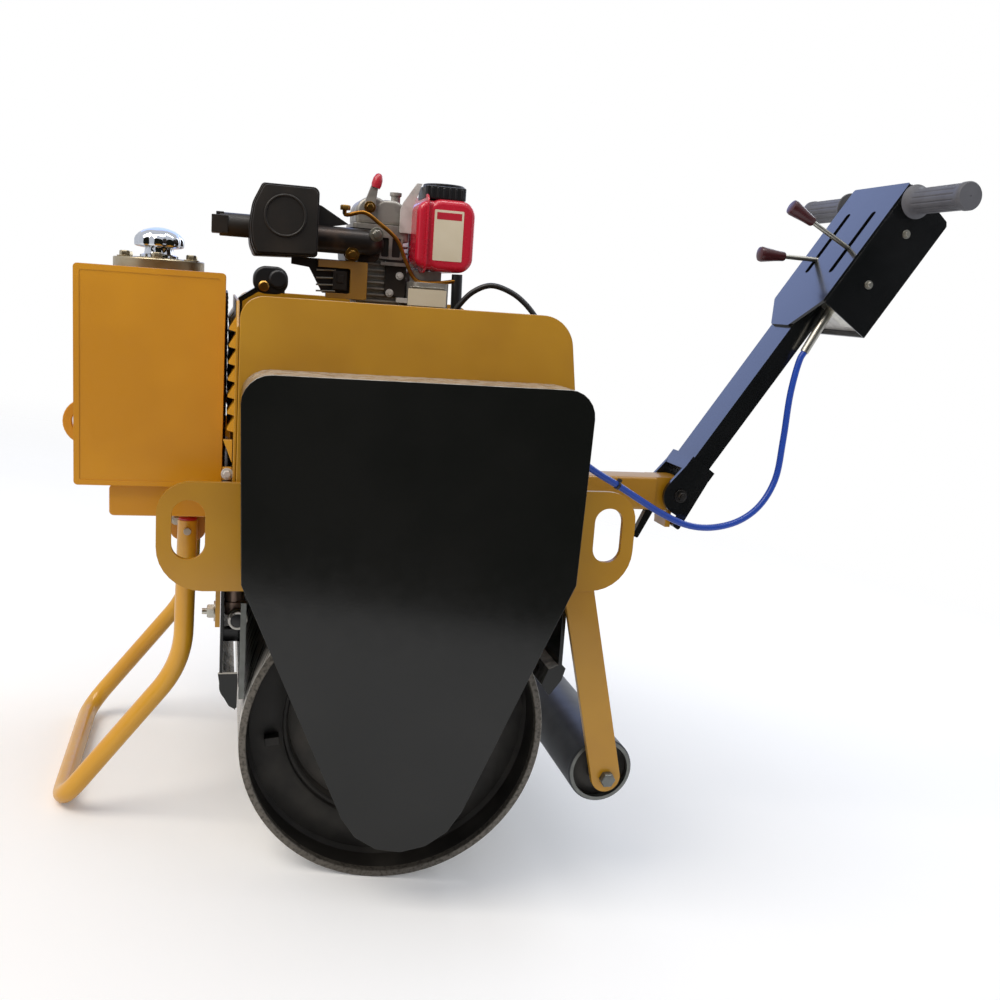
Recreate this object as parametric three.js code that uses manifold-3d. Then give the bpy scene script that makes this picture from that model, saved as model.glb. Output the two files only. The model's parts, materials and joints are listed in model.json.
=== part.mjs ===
// A walk-behind single-drum vibratory roller, standing parked on its drum and its front stand.
// Millimetres, +Z up, +X towards the front of the machine, +Y to its left.
import * as THREE from "three";
import { mergeVertices } from "three/addons/utils/BufferGeometryUtils.js";
import Module from "manifold-3d";

const wasm = await Module();
wasm.setup();

// ---------------------------------------------------------------------------
// Driving dimensions. Heights are above level ground with the chassis level,
// and lengths run from the drum's axle.
// ---------------------------------------------------------------------------
const GAP = 0.3; // between pieces that are bolted or welded face to face
const RUNNING = 0.6; // between a shaft and the bore that turns on it

const DRUM_RADIUS = 212.5;
const DRUM_WIDTH = 600;
const DRUM_WALL = 10;
const DRUM_END_DEPTH = 55; // how deep the end disc lies inside the rim
const DRUM_END_THICK = 10;
const DRUM_DISH_RADIUS = 150; // the middle of the end disc is dished inwards
const DRUM_DISH_DEPTH = 30;
const DRUM_HUB_RADIUS = 48;
const DRUM_HUB_REACH = 45; // how far the hub stands out of the dish
const AXLE_RADIUS = 25;
const AXLE_ENGAGED = 58; // length of axle inside the hub's bore

const BODY_OVERHANG = 11.5; // the body panels reach this far past the drum, fore and aft
const BODY_HALF = DRUM_RADIUS + BODY_OVERHANG;
const FRAME_CLEARANCE = 5; // from the top of the drum to the frame's rails
const RAIL_BOTTOM = 2 * DRUM_RADIUS + FRAME_CLEARANCE;
const RAIL_HEIGHT = 48;
const RAIL_TOP = RAIL_BOTTOM + RAIL_HEIGHT;
const RAIL_INSET = 18; // rail's inner side, inwards from the panels' ends
const RAIL_OUTSET = 16; // and its outer side, outwards
const RAIL_INNER = BODY_HALF - RAIL_INSET;
const RAIL_OUTER = BODY_HALF + RAIL_OUTSET;
const DECK_THICK = 10;
const DECK_TOP = RAIL_TOP + DECK_THICK;

const PANEL_THICK = 8;
const PANEL_OUTSET = 6; // the panels' outer faces, outwards from the ends of the drum
const PANEL_OUTER = DRUM_WIDTH / 2 + PANEL_OUTSET;
const PANEL_INNER = PANEL_OUTER - PANEL_THICK;
const PANEL_HEIGHT = 325; // above the rails
const PANEL_TOP = RAIL_TOP + PANEL_HEIGHT;
const PANEL_CORNER = 32;
const END_PANEL_THICK = 4;
const END_PANEL_DROP = 8; // the front and rear panels stop this far below the side panels

const SIDE_PLATE_THICK = 8;
const SIDE_PLATE_HALF = BODY_HALF + 96;
const SIDE_PLATE_DROP = 3; // below the rails
const SIDE_PLATE_HEIGHT = 142;
const SIDE_PLATE_TOP_CORNER = 42;
const SIDE_PLATE_LOW_CORNER = 58;
const SIDE_SLOT_FROM_END = 39; // slot centre to the end of the plate
const SIDE_SLOT_WIDTH = 41;
const SIDE_SLOT_HEIGHT = 77;
const SIDE_SLOT_LIFT = 80; // slot centre above the plate's lower edge

const COVER_THICK = 10;
const COVER_OUTSET = 85; // outer face of the drum cover, outwards from the end of the drum
const COVER_OUTER = DRUM_WIDTH / 2 + COVER_OUTSET;
const COVER_FLANGE = 6;
const COVER_TOP_HALF = BODY_HALF - 1;
const COVER_WAIST_HALF = BODY_HALF - 8;
const COVER_TOP = RAIL_TOP + 235;
const COVER_WAIST = RAIL_TOP - 23;
const COVER_CORNER = 36;
const COVER_TIP = 85; // height of the lowest point
const COVER_TIP_RADIUS = 88;
const HOUSING_RADIUS = 46; // bearing housing inside the cover
const HOUSING_FOOT_RADIUS = 75;
const HOUSING_FOOT = 14; // thickness of its foot against the cover
const HOUSING_TAPER = 10;
const HOUSING_CLEARANCE = 5; // from the housing to the drum's hub

const LEG_WIDTH = 44;
const LEG_THICK = 10;
const LEG_LEAN = 13.2; // degrees off upright
const LEG_TOP_DROP = 8; // its top below the top of the rails
const LEG_TOP_CUT = 20; // the front corner of its top is this much lower
const GUIDE_RADIUS = 49.5;
const GUIDE_WALL = 5;
const GUIDE_HALF = DRUM_WIDTH / 2 - 20;
const GUIDE_END_DEPTH = 10;
const GUIDE_END_THICK = 8;
const GUIDE_BEHIND = 103.5; // guide roller's axle behind the drum's rear face
const GUIDE_HEIGHT = 139;
const GUIDE_AXLE_RADIUS = 8;
const BOLT_HEAD = 13.5; // across the corners, halved
const BOLT_HEAD_HEIGHT = 8;

const CROSSBEAM_REACH = 154; // ahead of the front panel
const CROSSBEAM_LIFT = 30; // its underside above the rails
const CROSSBEAM_HEIGHT = 41;
const CROSSBEAM_HALF = 240;
const TANK_SETBACK = 13; // tank's rear face ahead of the front panel
const TANK_LENGTH = 183;
const TANK_HALF = 250;
const TANK_HEIGHT = 278;
const TANK_WALL = 3;
const TANK_CORNER = 5;
const FILLER_RADIUS = 64;
const FILLER_HEIGHT = 16;
const FILLER_NECK = 24;
const FILLER_CAP_RADIUS = 35;
const FILLER_CAP_HEIGHT = 44;
const EYE_RADIUS = 35;
const EYE_HOLE = 22; // radius of its D-shaped hole
const EYE_REACH = 10.9; // eye centre ahead of the tank
const EYE_DROP = 229; // eye centre below the top of the tank
const EYE_THICK = 12;

const STAND_TUBE = 13.5; // radius
const STAND_HALF = 181; // legs' centre lines, each side of the middle
const STAND_PIN_AHEAD = 57; // pin ahead of the front panel
const STAND_PIN_DROP = 30; // pin below the crossbeam
const STAND_PIN_RADIUS = 6;
const STAND_EYE_ABOVE = 14; // tube goes on above its pin
const STAND_KNEE = 284; // height of the bend in each leg
const STAND_KNEE_AHEAD = 4;
const STAND_FOOT_AHEAD = 230; // crossbar ahead of the front panel
const STAND_FOOT_HEIGHT = 77.63;
const STAND_BEND = 50; // along each tube from the corner to where its bend begins
const BRACKET_THICK = 6;
const BRACKET_HALF_LENGTH = 22;

const BEAM_HALF = 28;
const BEAM_HALF_HEIGHT = 28;
const HANDLE_PIVOT_BEHIND = 281; // handle pivot behind the rear panel
const HANDLE_PIVOT_LIFT = 37; // and above the rails
const BEAM_END = 39; // beam's square end, ahead of the pivot
const PIVOT_PIN_RADIUS = 9;

const ARM_LEAN = 33.6; // degrees from upright, rearwards
const ARM_HALF = 35;
const ARM_DEPTH = 35;
const ARM_WALL = 3;
const ARM_TOP = 460; // along the arm from its pivot
const CHEEK_THICK = 7;
const CHEEK_RADIUS = 34;
const CHEEK_BACK = 36;
const CHEEK_TOP = 46;
const COLLAR_TOP = 66;
const COLLAR_BACK = 27;
const COLLAR_FRONT = 24;
const LUG_DROP = 48;
const LUG_WIDTH = 14;
const STOP_RADIUS = 6;

const BOX_START = 394; // along the arm from its pivot
const BOX_LENGTH = 240;
const BOX_DEPTH = 103;
const BOX_HALF = 81;
const BOX_WALL = 3;
const BOX_CHAMFER = 36;
const PLATE_THICK = 4.5;
const BOX_FACE = ARM_DEPTH / 2 + GAP + PLATE_THICK; // the top plate lies on the arm
const PLATE_TAIL = 53; // the plate's tapered tail below the box
const PLATE_TAIL_HALF = 29;
const LEVER_SLOT_START = 57; // from the box's lower edge
const LEVER_SLOT_LENGTH = 127;
const LEVER_SLOT_HALF = 6;
const LEVER_SLOT_OUT = 38;
const LEVER_RADIUS = 4;
const LEVER_PIVOT_ALONG = 122;
const LEVER_PIVOT_DEPTH = 62;
const BAR_ALONG = 217;
const BAR_RADIUS = 13;
const BAR_HALF = 225;
const GRIP_RADIUS = 20;
const GRIP_START = 95;
const FITTING_RADIUS = 8;
const FITTING_BRACKET = 3; // thickness of the plate that holds the fitting
const CABLE_RADIUS = 5.5;
const GLAND_RADIUS = 11;
const GLAND_LENGTH = 14;
const THROTTLE_CABLE_RADIUS = 4;

const SPRAY_RADIUS = 11;
const SPRAY_HALF = DRUM_WIDTH / 2 - 10;
const SPRAY_AHEAD = 4.5; // spray pipe ahead of the drum's front
const SPRAY_DROP = 51; // below the rails
const RISER_RADIUS = 12;
const SCRAPER_HALF = DRUM_WIDTH / 2 - 14;
const BLADE_SETBACK = 6.5; // blade behind the drum's foremost point
const GUARD_THICK = 4;
const BLADE_THICK = 8;
const BLADE_HEIGHT = 82;
const SPACER_HALF = 8; // blocks between the blade and its guard

const BLOCK_HALF_LENGTH = 88;
const BLOCK_AHEAD = 12;
const BLOCK_HALF_WIDTH = 110;
const BLOCK_HEIGHT = 202;
const FLYWHEEL_RADIUS = 125;
const FLYWHEEL_THICK = 50;
const CRANK_RADIUS = 55;
const CRANK_LIFT = 140; // crankshaft above the deck
const RECOIL_RADIUS = 105;
const RECOIL_THICK = 38;
const PUMP_RADIUS = 42;
const PUMP_LENGTH = 92;
const BELL_RADIUS = 82;
const BELL_THICK = 30;
const CYLINDER_REAR = -22;
const CYLINDER_FRONT = 62;
const CYLINDER_FAR = -45;
const CYLINDER_NEAR = 55;
const CYLINDER_HEIGHT = PANEL_HEIGHT - 100; // so that it stands out above the panels
const FIN_PITCH = 9;
const FIN_DEPTH = 8;
const ROCKER_HEIGHT = 39;
const ROCKER_INSET = 4;
const SHROUD_LENGTH = 53;
const SHROUD_HEIGHT = 145;
const CRADLE_HEIGHT = 17;
const FUEL_LENGTH = 86;
const FUEL_HEIGHT = 103;
const FUEL_NEAR = 110;
const FUEL_FAR = -130;
const FUEL_CORNER = 22;
const FUEL_SETBACK = 2; // fuel tank behind the cylinder
const FUEL_CAP_RADIUS = 32;
const FUEL_CAP_HEIGHT = 29;
const MUFFLER_SIZE = 93;
const MUFFLER_CORNER = 24;
const MUFFLER_GAP = 56; // muffler ahead of the cylinder
const MUFFLER_NEAR = 130;
const MUFFLER_FAR = -60;
const TAIL_PIPE_RADIUS = 15;
const TAIL_PIPE_LENGTH = 58;
const TAIL_PIPE_Y = 60;
const TAIL_PIPE_LIFT = 0.55; // share of the muffler's height
const MUFFLER_BRACKET_THICK = 6;
const MUFFLER_BRACKET_HEIGHT = 50;
const MUFFLER_LIFT = PANEL_HEIGHT + 47; // above the deck
const ELBOW_RADIUS = 19;
const ELBOW_LIFT = 27; // above the muffler's underside
const CLEANER_RADIUS = 41;
const CLEANER_LENGTH = 120;
const METER_LENGTH = 66; // switch box over the front panel
const METER_WIDTH = 50;
const METER_HEIGHT = 35;
const METER_Y = 95;
const METER_LIFT = 12; // above the front panel's edge
const METER_FOOT = 5; // thickness of its foot
const METER_FOOT_DROP = 28;
const LEVER_PIVOT_X = 38; // decompression lever on the side of the rocker cover
const LEVER_PIVOT_LIFT = 24; // above the cylinder
const LEVER_KNOB_BACK = 10;
const LEVER_KNOB_LIFT = 58;

// ---------------------------------------------------------------------------
// Shapes
// ---------------------------------------------------------------------------
const UNIT_X = new THREE.Vector3(1, 0, 0);
const UNIT_Y = new THREE.Vector3(0, 1, 0);
const UNIT_Z = new THREE.Vector3(0, 0, 1);
const DEGREE = Math.PI / 180;

/** Merges a geometry's vertices, drops empty triangles and turns its faces outwards. */
function closed(geometry) {
  const bare = new THREE.BufferGeometry();
  bare.setAttribute("position", geometry.getAttribute("position").clone());
  if (geometry.index) bare.setIndex(geometry.index.clone());
  const merged = mergeVertices(bare, 1e-3);
  const position = merged.getAttribute("position");
  const corners = [0, 1, 2].map(() => new THREE.Vector3());
  const triangles = [];
  let volume = 0;
  for (let i = 0; i < merged.index.count; i += 3) {
    const [a, b, c] = [0, 1, 2].map((k) => merged.index.getX(i + k));
    if (a === b || b === c || c === a) continue;
    corners.forEach((corner, k) => corner.fromBufferAttribute(position, [a, b, c][k]));
    volume += corners[0].dot(corners[1].clone().cross(corners[2]));
    triangles.push([a, b, c]);
  }
  const outwards = volume > 0 ? triangles : triangles.map(([a, b, c]) => [a, c, b]);
  merged.setIndex(outwards.flat());
  return merged;
}

function toManifold(geometry) {
  const clean = closed(geometry);
  return new wasm.Manifold(
    new wasm.Mesh({
      numProp: 3,
      vertProperties: new Float32Array(clean.getAttribute("position").array),
      triVerts: new Uint32Array(clean.index.array),
    }),
  );
}

function fromManifold(solid) {
  const mesh = solid.getMesh();
  const geometry = new THREE.BufferGeometry();
  geometry.setAttribute("position", new THREE.BufferAttribute(mesh.vertProperties, 3));
  geometry.setIndex(new THREE.BufferAttribute(mesh.triVerts, 1));
  return geometry;
}

function join(first, ...others) {
  return fromManifold(others.reduce((all, next) => all.add(toManifold(next)), toManifold(first)));
}

function cut(first, ...others) {
  return fromManifold(others.reduce((rest, next) => rest.subtract(toManifold(next)), toManifold(first)));
}

/** A closed outline through corners [a, b, radius], each rounded by its own radius. */
function outline(corners, path = new THREE.Shape()) {
  const count = corners.length;
  const at = (i) => new THREE.Vector2(...corners[(i + count) % count].slice(0, 2));
  corners.forEach(([, , radius = 0], i) => {
    const corner = at(i);
    if (radius === 0 && i === 0) path.moveTo(corner.x, corner.y);
    if (radius === 0 && i > 0) path.lineTo(corner.x, corner.y);
    if (radius === 0) return;
    const toLast = at(i - 1).sub(corner).normalize();
    const toNext = at(i + 1).sub(corner).normalize();
    const half = Math.acos(toLast.dot(toNext)) / 2;
    const centre = toLast.clone().add(toNext).setLength(radius / Math.sin(half)).add(corner);
    const start = toLast.clone().multiplyScalar(radius / Math.tan(half)).add(corner).sub(centre);
    const end = toNext.clone().multiplyScalar(radius / Math.tan(half)).add(corner).sub(centre);
    const clockwise = toLast.cross(toNext) > 0;
    if (path.curves.length === 0 && i > 0) path.lineTo(centre.x + start.x, centre.y + start.y);
    path.absarc(centre.x, centre.y, radius, start.angle(), end.angle(), clockwise);
  });
  path.closePath();
  return path;
}

function rectangle(a0, a1, b0, b1, radius = 0) {
  return outline([[a0, b0, radius], [a1, b0, radius], [a1, b1, radius], [a0, b1, radius]]);
}

function circle(a, b, radius) {
  return new THREE.Shape().absarc(a, b, radius, 0, 2 * Math.PI);
}

function extruded(shape, depth, curveSegments = 3) {
  return new THREE.ExtrudeGeometry(shape, { depth, bevelEnabled: false, curveSegments });
}

/** Pushes an outline in (x, z) across the machine, from y0 to y1. */
function alongY(shape, y0, y1, curveSegments) {
  const basis = new THREE.Matrix4().makeBasis(UNIT_X, UNIT_Z, UNIT_Y.clone().negate());
  return extruded(shape, y1 - y0, curveSegments).applyMatrix4(basis).translate(0, y1, 0);
}

/** Pushes an outline in (y, z) along the machine, from x0 to x1. */
function alongX(shape, x0, x1, curveSegments) {
  const basis = new THREE.Matrix4().makeBasis(UNIT_Y, UNIT_Z, UNIT_X);
  return extruded(shape, x1 - x0, curveSegments).applyMatrix4(basis).translate(x0, 0, 0);
}

/** Pushes an outline in (x, y) upwards, from z0 to z1. */
function alongZ(shape, z0, z1, curveSegments) {
  return extruded(shape, z1 - z0, curveSegments).translate(0, 0, z0);
}

function box(x0, x1, y0, y1, z0, z1) {
  return alongZ(rectangle(x0, x1, y0, y1), z0, z1);
}

/** Turns a profile of [radius, height] points round the Y axis; a ring's profile closes on itself. */
function turned(profile, sides = 32) {
  const points = profile.map(([radius, height]) => new THREE.Vector2(radius, height));
  if (profile[0][0] > 0) points.push(points[0].clone());
  return new THREE.LatheGeometry(points, sides);
}

function turnedAboutX(profile, sides) {
  return turned(profile, sides).rotateZ(-Math.PI / 2);
}

function turnedAboutZ(profile, sides) {
  return turned(profile, sides).rotateX(Math.PI / 2);
}

function rod(from, to, radius, sides = 16, endRadius = radius) {
  const start = new THREE.Vector3(...from);
  const axis = new THREE.Vector3(...to).sub(start);
  const turn = new THREE.Quaternion().setFromUnitVectors(UNIT_Y, axis.clone().normalize());
  const middle = start.addScaledVector(axis, 0.5);
  return new THREE.CylinderGeometry(endRadius, radius, axis.length(), sides)
    .applyQuaternion(turn)
    .translate(middle.x, middle.y, middle.z);
}

function sweep(path, radius, sides, steps) {
  const section = new THREE.Shape();
  for (let i = 0; i < sides; i += 1) {
    const angle = (2 * Math.PI * i) / sides;
    const move = i === 0 ? "moveTo" : "lineTo";
    section[move](radius * Math.cos(angle), radius * Math.sin(angle));
  }
  return new THREE.ExtrudeGeometry(section, { extrudePath: path, steps, bevelEnabled: false });
}

/** A tube through points, straight between them and bent over `bend` on each side of a corner. */
function bentTube(points, bend, radius, sides, steps) {
  const corners = points.map((point) => new THREE.Vector3(...point));
  const path = new THREE.CurvePath();
  let last = corners[0];
  for (let i = 1; i < corners.length - 1; i += 1) {
    const into = corners[i - 1].clone().sub(corners[i]).setLength(bend).add(corners[i]);
    const outOf = corners[i + 1].clone().sub(corners[i]).setLength(bend).add(corners[i]);
    path.add(new THREE.LineCurve3(last, into));
    path.add(new THREE.QuadraticBezierCurve3(into, corners[i], outOf));
    last = outOf;
  }
  path.add(new THREE.LineCurve3(last, corners[corners.length - 1]));
  return sweep(path, radius, sides, steps);
}

function cord(points, radius, sides, steps) {
  const route = new THREE.CatmullRomCurve3(points.map((point) => new THREE.Vector3(...point)));
  return sweep(route, radius, sides, steps);
}

const mirrored = (geometry) => closed(geometry.clone().scale(1, -1, 1));

// ---------------------------------------------------------------------------
// Finishes: colour, roughness, metalness
// ---------------------------------------------------------------------------
const FINISHES = {
  yellow: [0xc98c22, 0.38, 0],
  black: [0x141617, 0.28, 0],
  bareSteel: [0x9a948a, 0.45, 1],
  darkSteel: [0x3e3b37, 0.6, 0.6],
  zinc: [0xb9bcbf, 0.35, 1],
  chrome: [0xd8dadc, 0.12, 1],
  castAluminium: [0xa9a9a4, 0.55, 0.8],
  charcoal: [0x2f2c29, 0.7, 0.3],
  red: [0xc8142c, 0.3, 0],
  redKnob: [0xb01f2a, 0.4, 0],
  maroon: [0x5c1f27, 0.45, 0],
  rubber: [0x5f5f62, 0.85, 0],
  blueCable: [0x1c49a8, 0.45, 0],
  blackCable: [0x131415, 0.6, 0],
  plastic: [0x1d1d1e, 0.6, 0],
  ochre: [0x9a7426, 0.5, 0],
};

function part(group, name, finish, geometry) {
  const [color, roughness, metalness] = FINISHES[finish];
  const material = new THREE.MeshStandardMaterial({ color, roughness, metalness });
  const mesh = new THREE.Mesh(closed(geometry), material);
  mesh.name = name;
  group.add(mesh);
  return mesh;
}

// ---------------------------------------------------------------------------
// Groups: the chassis is drawn level, then tipped forward about the drum's
// axle until the stand's crossbar meets the ground.
// ---------------------------------------------------------------------------
const footX = BODY_HALF + STAND_FOOT_AHEAD;
const footZ = STAND_FOOT_HEIGHT - DRUM_RADIUS;
const footReach = Math.hypot(footX, footZ);
const parkedPitch = Math.asin((DRUM_RADIUS - STAND_TUBE) / footReach) - Math.atan2(-footZ, footX);

const roller = new THREE.Group();
const parked = new THREE.Group();
const chassis = new THREE.Group();
parked.position.z = DRUM_RADIUS;
parked.rotation.y = parkedPitch;
chassis.position.z = -DRUM_RADIUS;
roller.add(parked);
parked.add(chassis);

// ---------------------------------------------------------------------------
// Drum
// ---------------------------------------------------------------------------
function drum() {
  const rimInner = DRUM_RADIUS - DRUM_WALL;
  const half = DRUM_WIDTH / 2;
  const web = half - DRUM_END_DEPTH;
  const dish = web - DRUM_DISH_DEPTH;
  const bore = AXLE_RADIUS + RUNNING;
  const end = [
    [rimInner, web],
    [DRUM_DISH_RADIUS, web],
    [DRUM_DISH_RADIUS, dish],
    [DRUM_HUB_RADIUS, dish],
    [DRUM_HUB_RADIUS, dish + DRUM_HUB_REACH],
    [bore, dish + DRUM_HUB_REACH],
    [bore, dish - DRUM_END_THICK],
    [DRUM_DISH_RADIUS + DRUM_END_THICK, dish - DRUM_END_THICK],
    [DRUM_DISH_RADIUS + DRUM_END_THICK, web - DRUM_END_THICK],
    [rimInner, web - DRUM_END_THICK],
  ];
  const left = [[DRUM_RADIUS, half], [rimInner, half], ...end];
  const right = left.map(([radius, y]) => [radius, -y]).reverse();
  return turned([...left, ...right], 48).translate(0, 0, DRUM_RADIUS);
}

/** The black cover that closes the drum's end, with the bearing housing that carries the axle. */
function drumCover() {
  const sides = [
    [COVER_WAIST_HALF, COVER_WAIST],
    [COVER_TOP_HALF, COVER_TOP, COVER_CORNER],
    [-COVER_TOP_HALF, COVER_TOP, COVER_CORNER],
    [-COVER_WAIST_HALF, COVER_WAIST],
  ];
  // The lower edges are tangents from the waist to the tip's round, and meet at a point below it.
  const rise = COVER_TIP_RADIUS + COVER_TIP - COVER_WAIST;
  const reach = Math.hypot(COVER_WAIST_HALF, rise);
  const slope = Math.asin(COVER_TIP_RADIUS / reach) - Math.atan2(rise, COVER_WAIST_HALF);
  const meeting = COVER_WAIST - COVER_WAIST_HALF * Math.tan(slope);
  const face = outline([...sides, [0, meeting, COVER_TIP_RADIUS]]);
  const inner = outline([
    [COVER_WAIST_HALF - COVER_FLANGE, COVER_WAIST],
    [COVER_TOP_HALF - COVER_FLANGE, COVER_TOP - COVER_FLANGE, COVER_CORNER - COVER_FLANGE],
    [COVER_FLANGE - COVER_TOP_HALF, COVER_TOP - COVER_FLANGE, COVER_CORNER - COVER_FLANGE],
    [COVER_FLANGE - COVER_WAIST_HALF, COVER_WAIST],
  ]);
  const back = PANEL_OUTER + GAP;
  const inside = COVER_OUTER - COVER_THICK;
  const far = 2 * BODY_HALF;
  const plateZone = RAIL_BOTTOM - SIDE_PLATE_DROP;
  const shell = cut(
    alongY(face, back, COVER_OUTER),
    alongY(inner, back - 1, inside),
    box(-far, far, back - 1, inside, -DRUM_RADIUS, COVER_WAIST + 1),
    box(-far, far, back - 1, back + SIDE_PLATE_THICK + GAP, plateZone, plateZone + SIDE_PLATE_HEIGHT + GAP),
  );
  const hubFace = DRUM_WIDTH / 2 - DRUM_END_DEPTH - DRUM_DISH_DEPTH + DRUM_HUB_REACH;
  const housing = turned([
    [0, inside + 1],
    [HOUSING_FOOT_RADIUS, inside + 1],
    [HOUSING_FOOT_RADIUS, inside - HOUSING_FOOT],
    [HOUSING_RADIUS, inside - HOUSING_FOOT - HOUSING_TAPER],
    [HOUSING_RADIUS, hubFace + HOUSING_CLEARANCE],
    [AXLE_RADIUS, hubFace + HOUSING_CLEARANCE],
    [AXLE_RADIUS, hubFace - AXLE_ENGAGED],
    [0, hubFace - AXLE_ENGAGED],
  ], 28).translate(0, 0, DRUM_RADIUS);
  return join(shell, housing);
}

part(chassis, "drum", "bareSteel", drum());
part(chassis, "left_drum_cover", "black", drumCover());
part(chassis, "right_drum_cover", "black", mirrored(drumCover()));

// ---------------------------------------------------------------------------
// Frame and body
// ---------------------------------------------------------------------------
const STRAP_BACK = RAIL_OUTER - 0.1;
const STRAP_THICK = 6;
const STRAP_HALF = 15;
const STRAP_OUT = DRUM_WIDTH / 2 - 22;
const STRAP_LENGTH = 58; // below the rail

/** Deck, its two cross rails and the two straps that steady the front scraper, welded together. */
function mainFrame() {
  const railHalf = PANEL_OUTER - LEG_THICK - 2 * GAP;
  const inside = BODY_HALF - END_PANEL_THICK;
  const straps = [-STRAP_OUT, STRAP_OUT].map((y) =>
    box(STRAP_BACK, RAIL_OUTER + STRAP_THICK, y - STRAP_HALF, y + STRAP_HALF,
      RAIL_BOTTOM - STRAP_LENGTH, RAIL_TOP - 6));
  return join(
    box(-inside, inside, GAP - PANEL_INNER, PANEL_INNER - GAP, RAIL_TOP - 0.1, DECK_TOP),
    box(RAIL_INNER, RAIL_OUTER, -railHalf, railHalf, RAIL_BOTTOM, RAIL_TOP),
    box(-RAIL_OUTER, -RAIL_INNER, -railHalf, railHalf, RAIL_BOTTOM, RAIL_TOP),
    ...straps,
  );
}

function sidePlate() {
  const bottom = RAIL_BOTTOM - SIDE_PLATE_DROP;
  const top = bottom + SIDE_PLATE_HEIGHT;
  const plate = outline([
    [-SIDE_PLATE_HALF, bottom, SIDE_PLATE_LOW_CORNER],
    [SIDE_PLATE_HALF, bottom, SIDE_PLATE_LOW_CORNER],
    [SIDE_PLATE_HALF, top, SIDE_PLATE_TOP_CORNER],
    [-SIDE_PLATE_HALF, top, SIDE_PLATE_TOP_CORNER],
  ]);
  const slotX = SIDE_PLATE_HALF - SIDE_SLOT_FROM_END;
  const slotZ = bottom + SIDE_SLOT_LIFT;
  for (const x of [-slotX, slotX]) {
    plate.holes.push(rectangle(x - SIDE_SLOT_WIDTH / 2, x + SIDE_SLOT_WIDTH / 2,
      slotZ - SIDE_SLOT_HEIGHT / 2, slotZ + SIDE_SLOT_HEIGHT / 2, SIDE_SLOT_WIDTH / 2 - 0.5));
  }
  return alongY(plate, PANEL_OUTER + GAP, PANEL_OUTER + GAP + SIDE_PLATE_THICK, 4);
}

function bodyPanel() {
  const panel = outline([
    [-BODY_HALF, RAIL_TOP + GAP],
    [BODY_HALF, RAIL_TOP + GAP],
    [BODY_HALF, PANEL_TOP, PANEL_CORNER],
    [-BODY_HALF, PANEL_TOP, PANEL_CORNER],
  ]);
  return alongY(panel, PANEL_INNER, PANEL_OUTER, 4);
}

function endPanel(x0, x1) {
  const half = PANEL_INNER - GAP;
  const panel = outline([
    [-half, RAIL_TOP + GAP],
    [half, RAIL_TOP + GAP],
    [half, PANEL_TOP - END_PANEL_DROP - PANEL_CORNER],
    [half - PANEL_CORNER, PANEL_TOP - END_PANEL_DROP],
    [PANEL_CORNER - half, PANEL_TOP - END_PANEL_DROP],
    [-half, PANEL_TOP - END_PANEL_DROP - PANEL_CORNER],
  ]);
  return alongX(panel, x0, x1);
}

const panelFront = BODY_HALF + END_PANEL_THICK + GAP;
part(chassis, "main_frame", "yellow", mainFrame());
part(chassis, "left_side_plate", "yellow", sidePlate());
part(chassis, "right_side_plate", "yellow", mirrored(sidePlate()));
part(chassis, "left_body_panel", "yellow", bodyPanel());
part(chassis, "right_body_panel", "yellow", mirrored(bodyPanel()));
part(chassis, "front_panel", "yellow", endPanel(BODY_HALF + GAP, panelFront));
part(chassis, "rear_panel", "yellow", endPanel(-panelFront, -BODY_HALF - GAP));

// ---------------------------------------------------------------------------
// Guide roller behind the drum
// ---------------------------------------------------------------------------
const guideX = -DRUM_RADIUS - GUIDE_BEHIND;

function rollerLeg() {
  const length = (RAIL_TOP - LEG_TOP_DROP - GUIDE_HEIGHT) / Math.cos(LEG_LEAN * DEGREE);
  const half = LEG_WIDTH / 2;
  const bar = new THREE.Shape().absarc(0, 0, half, -Math.PI, 0);
  bar.lineTo(half, length - LEG_TOP_CUT);
  bar.lineTo(-half, length);
  bar.closePath();
  bar.holes.push(circle(0, 0, GUIDE_AXLE_RADIUS + GAP));
  return alongY(bar, PANEL_OUTER - LEG_THICK, PANEL_OUTER, 8)
    .rotateY(LEG_LEAN * DEGREE)
    .translate(guideX, 0, GUIDE_HEIGHT);
}

function guideRollerAxle() {
  const head = PANEL_OUTER + GAP;
  const ends = [-1, 1].map((side) =>
    rod([0, side * head, 0], [0, side * (head + BOLT_HEAD_HEIGHT), 0], BOLT_HEAD, 6));
  return join(rod([0, -head - 1, 0], [0, head + 1, 0], GUIDE_AXLE_RADIUS, 24), ...ends)
    .translate(guideX, 0, GUIDE_HEIGHT);
}

function guideRoller() {
  const inner = GUIDE_RADIUS - GUIDE_WALL;
  const bore = GUIDE_AXLE_RADIUS + RUNNING;
  const disc = GUIDE_HALF - GUIDE_END_DEPTH;
  const left = [
    [GUIDE_RADIUS, GUIDE_HALF],
    [inner, GUIDE_HALF],
    [inner, disc],
    [bore, disc],
    [bore, disc - GUIDE_END_THICK],
    [inner, disc - GUIDE_END_THICK],
  ];
  const right = left.map(([radius, y]) => [radius, -y]).reverse();
  return turned([...left, ...right], 32).translate(guideX, 0, GUIDE_HEIGHT);
}

part(chassis, "left_roller_leg", "yellow", rollerLeg());
part(chassis, "right_roller_leg", "yellow", mirrored(rollerLeg()));
part(chassis, "guide_roller_axle", "zinc", guideRollerAxle());
part(chassis, "guide_roller", "darkSteel", guideRoller());

// ---------------------------------------------------------------------------
// Scrapers and spray pipe
// ---------------------------------------------------------------------------
const sprayX = DRUM_RADIUS + SPRAY_AHEAD;
const sprayZ = RAIL_BOTTOM - SPRAY_DROP;
const bladeX = DRUM_RADIUS - BLADE_SETBACK;

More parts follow.
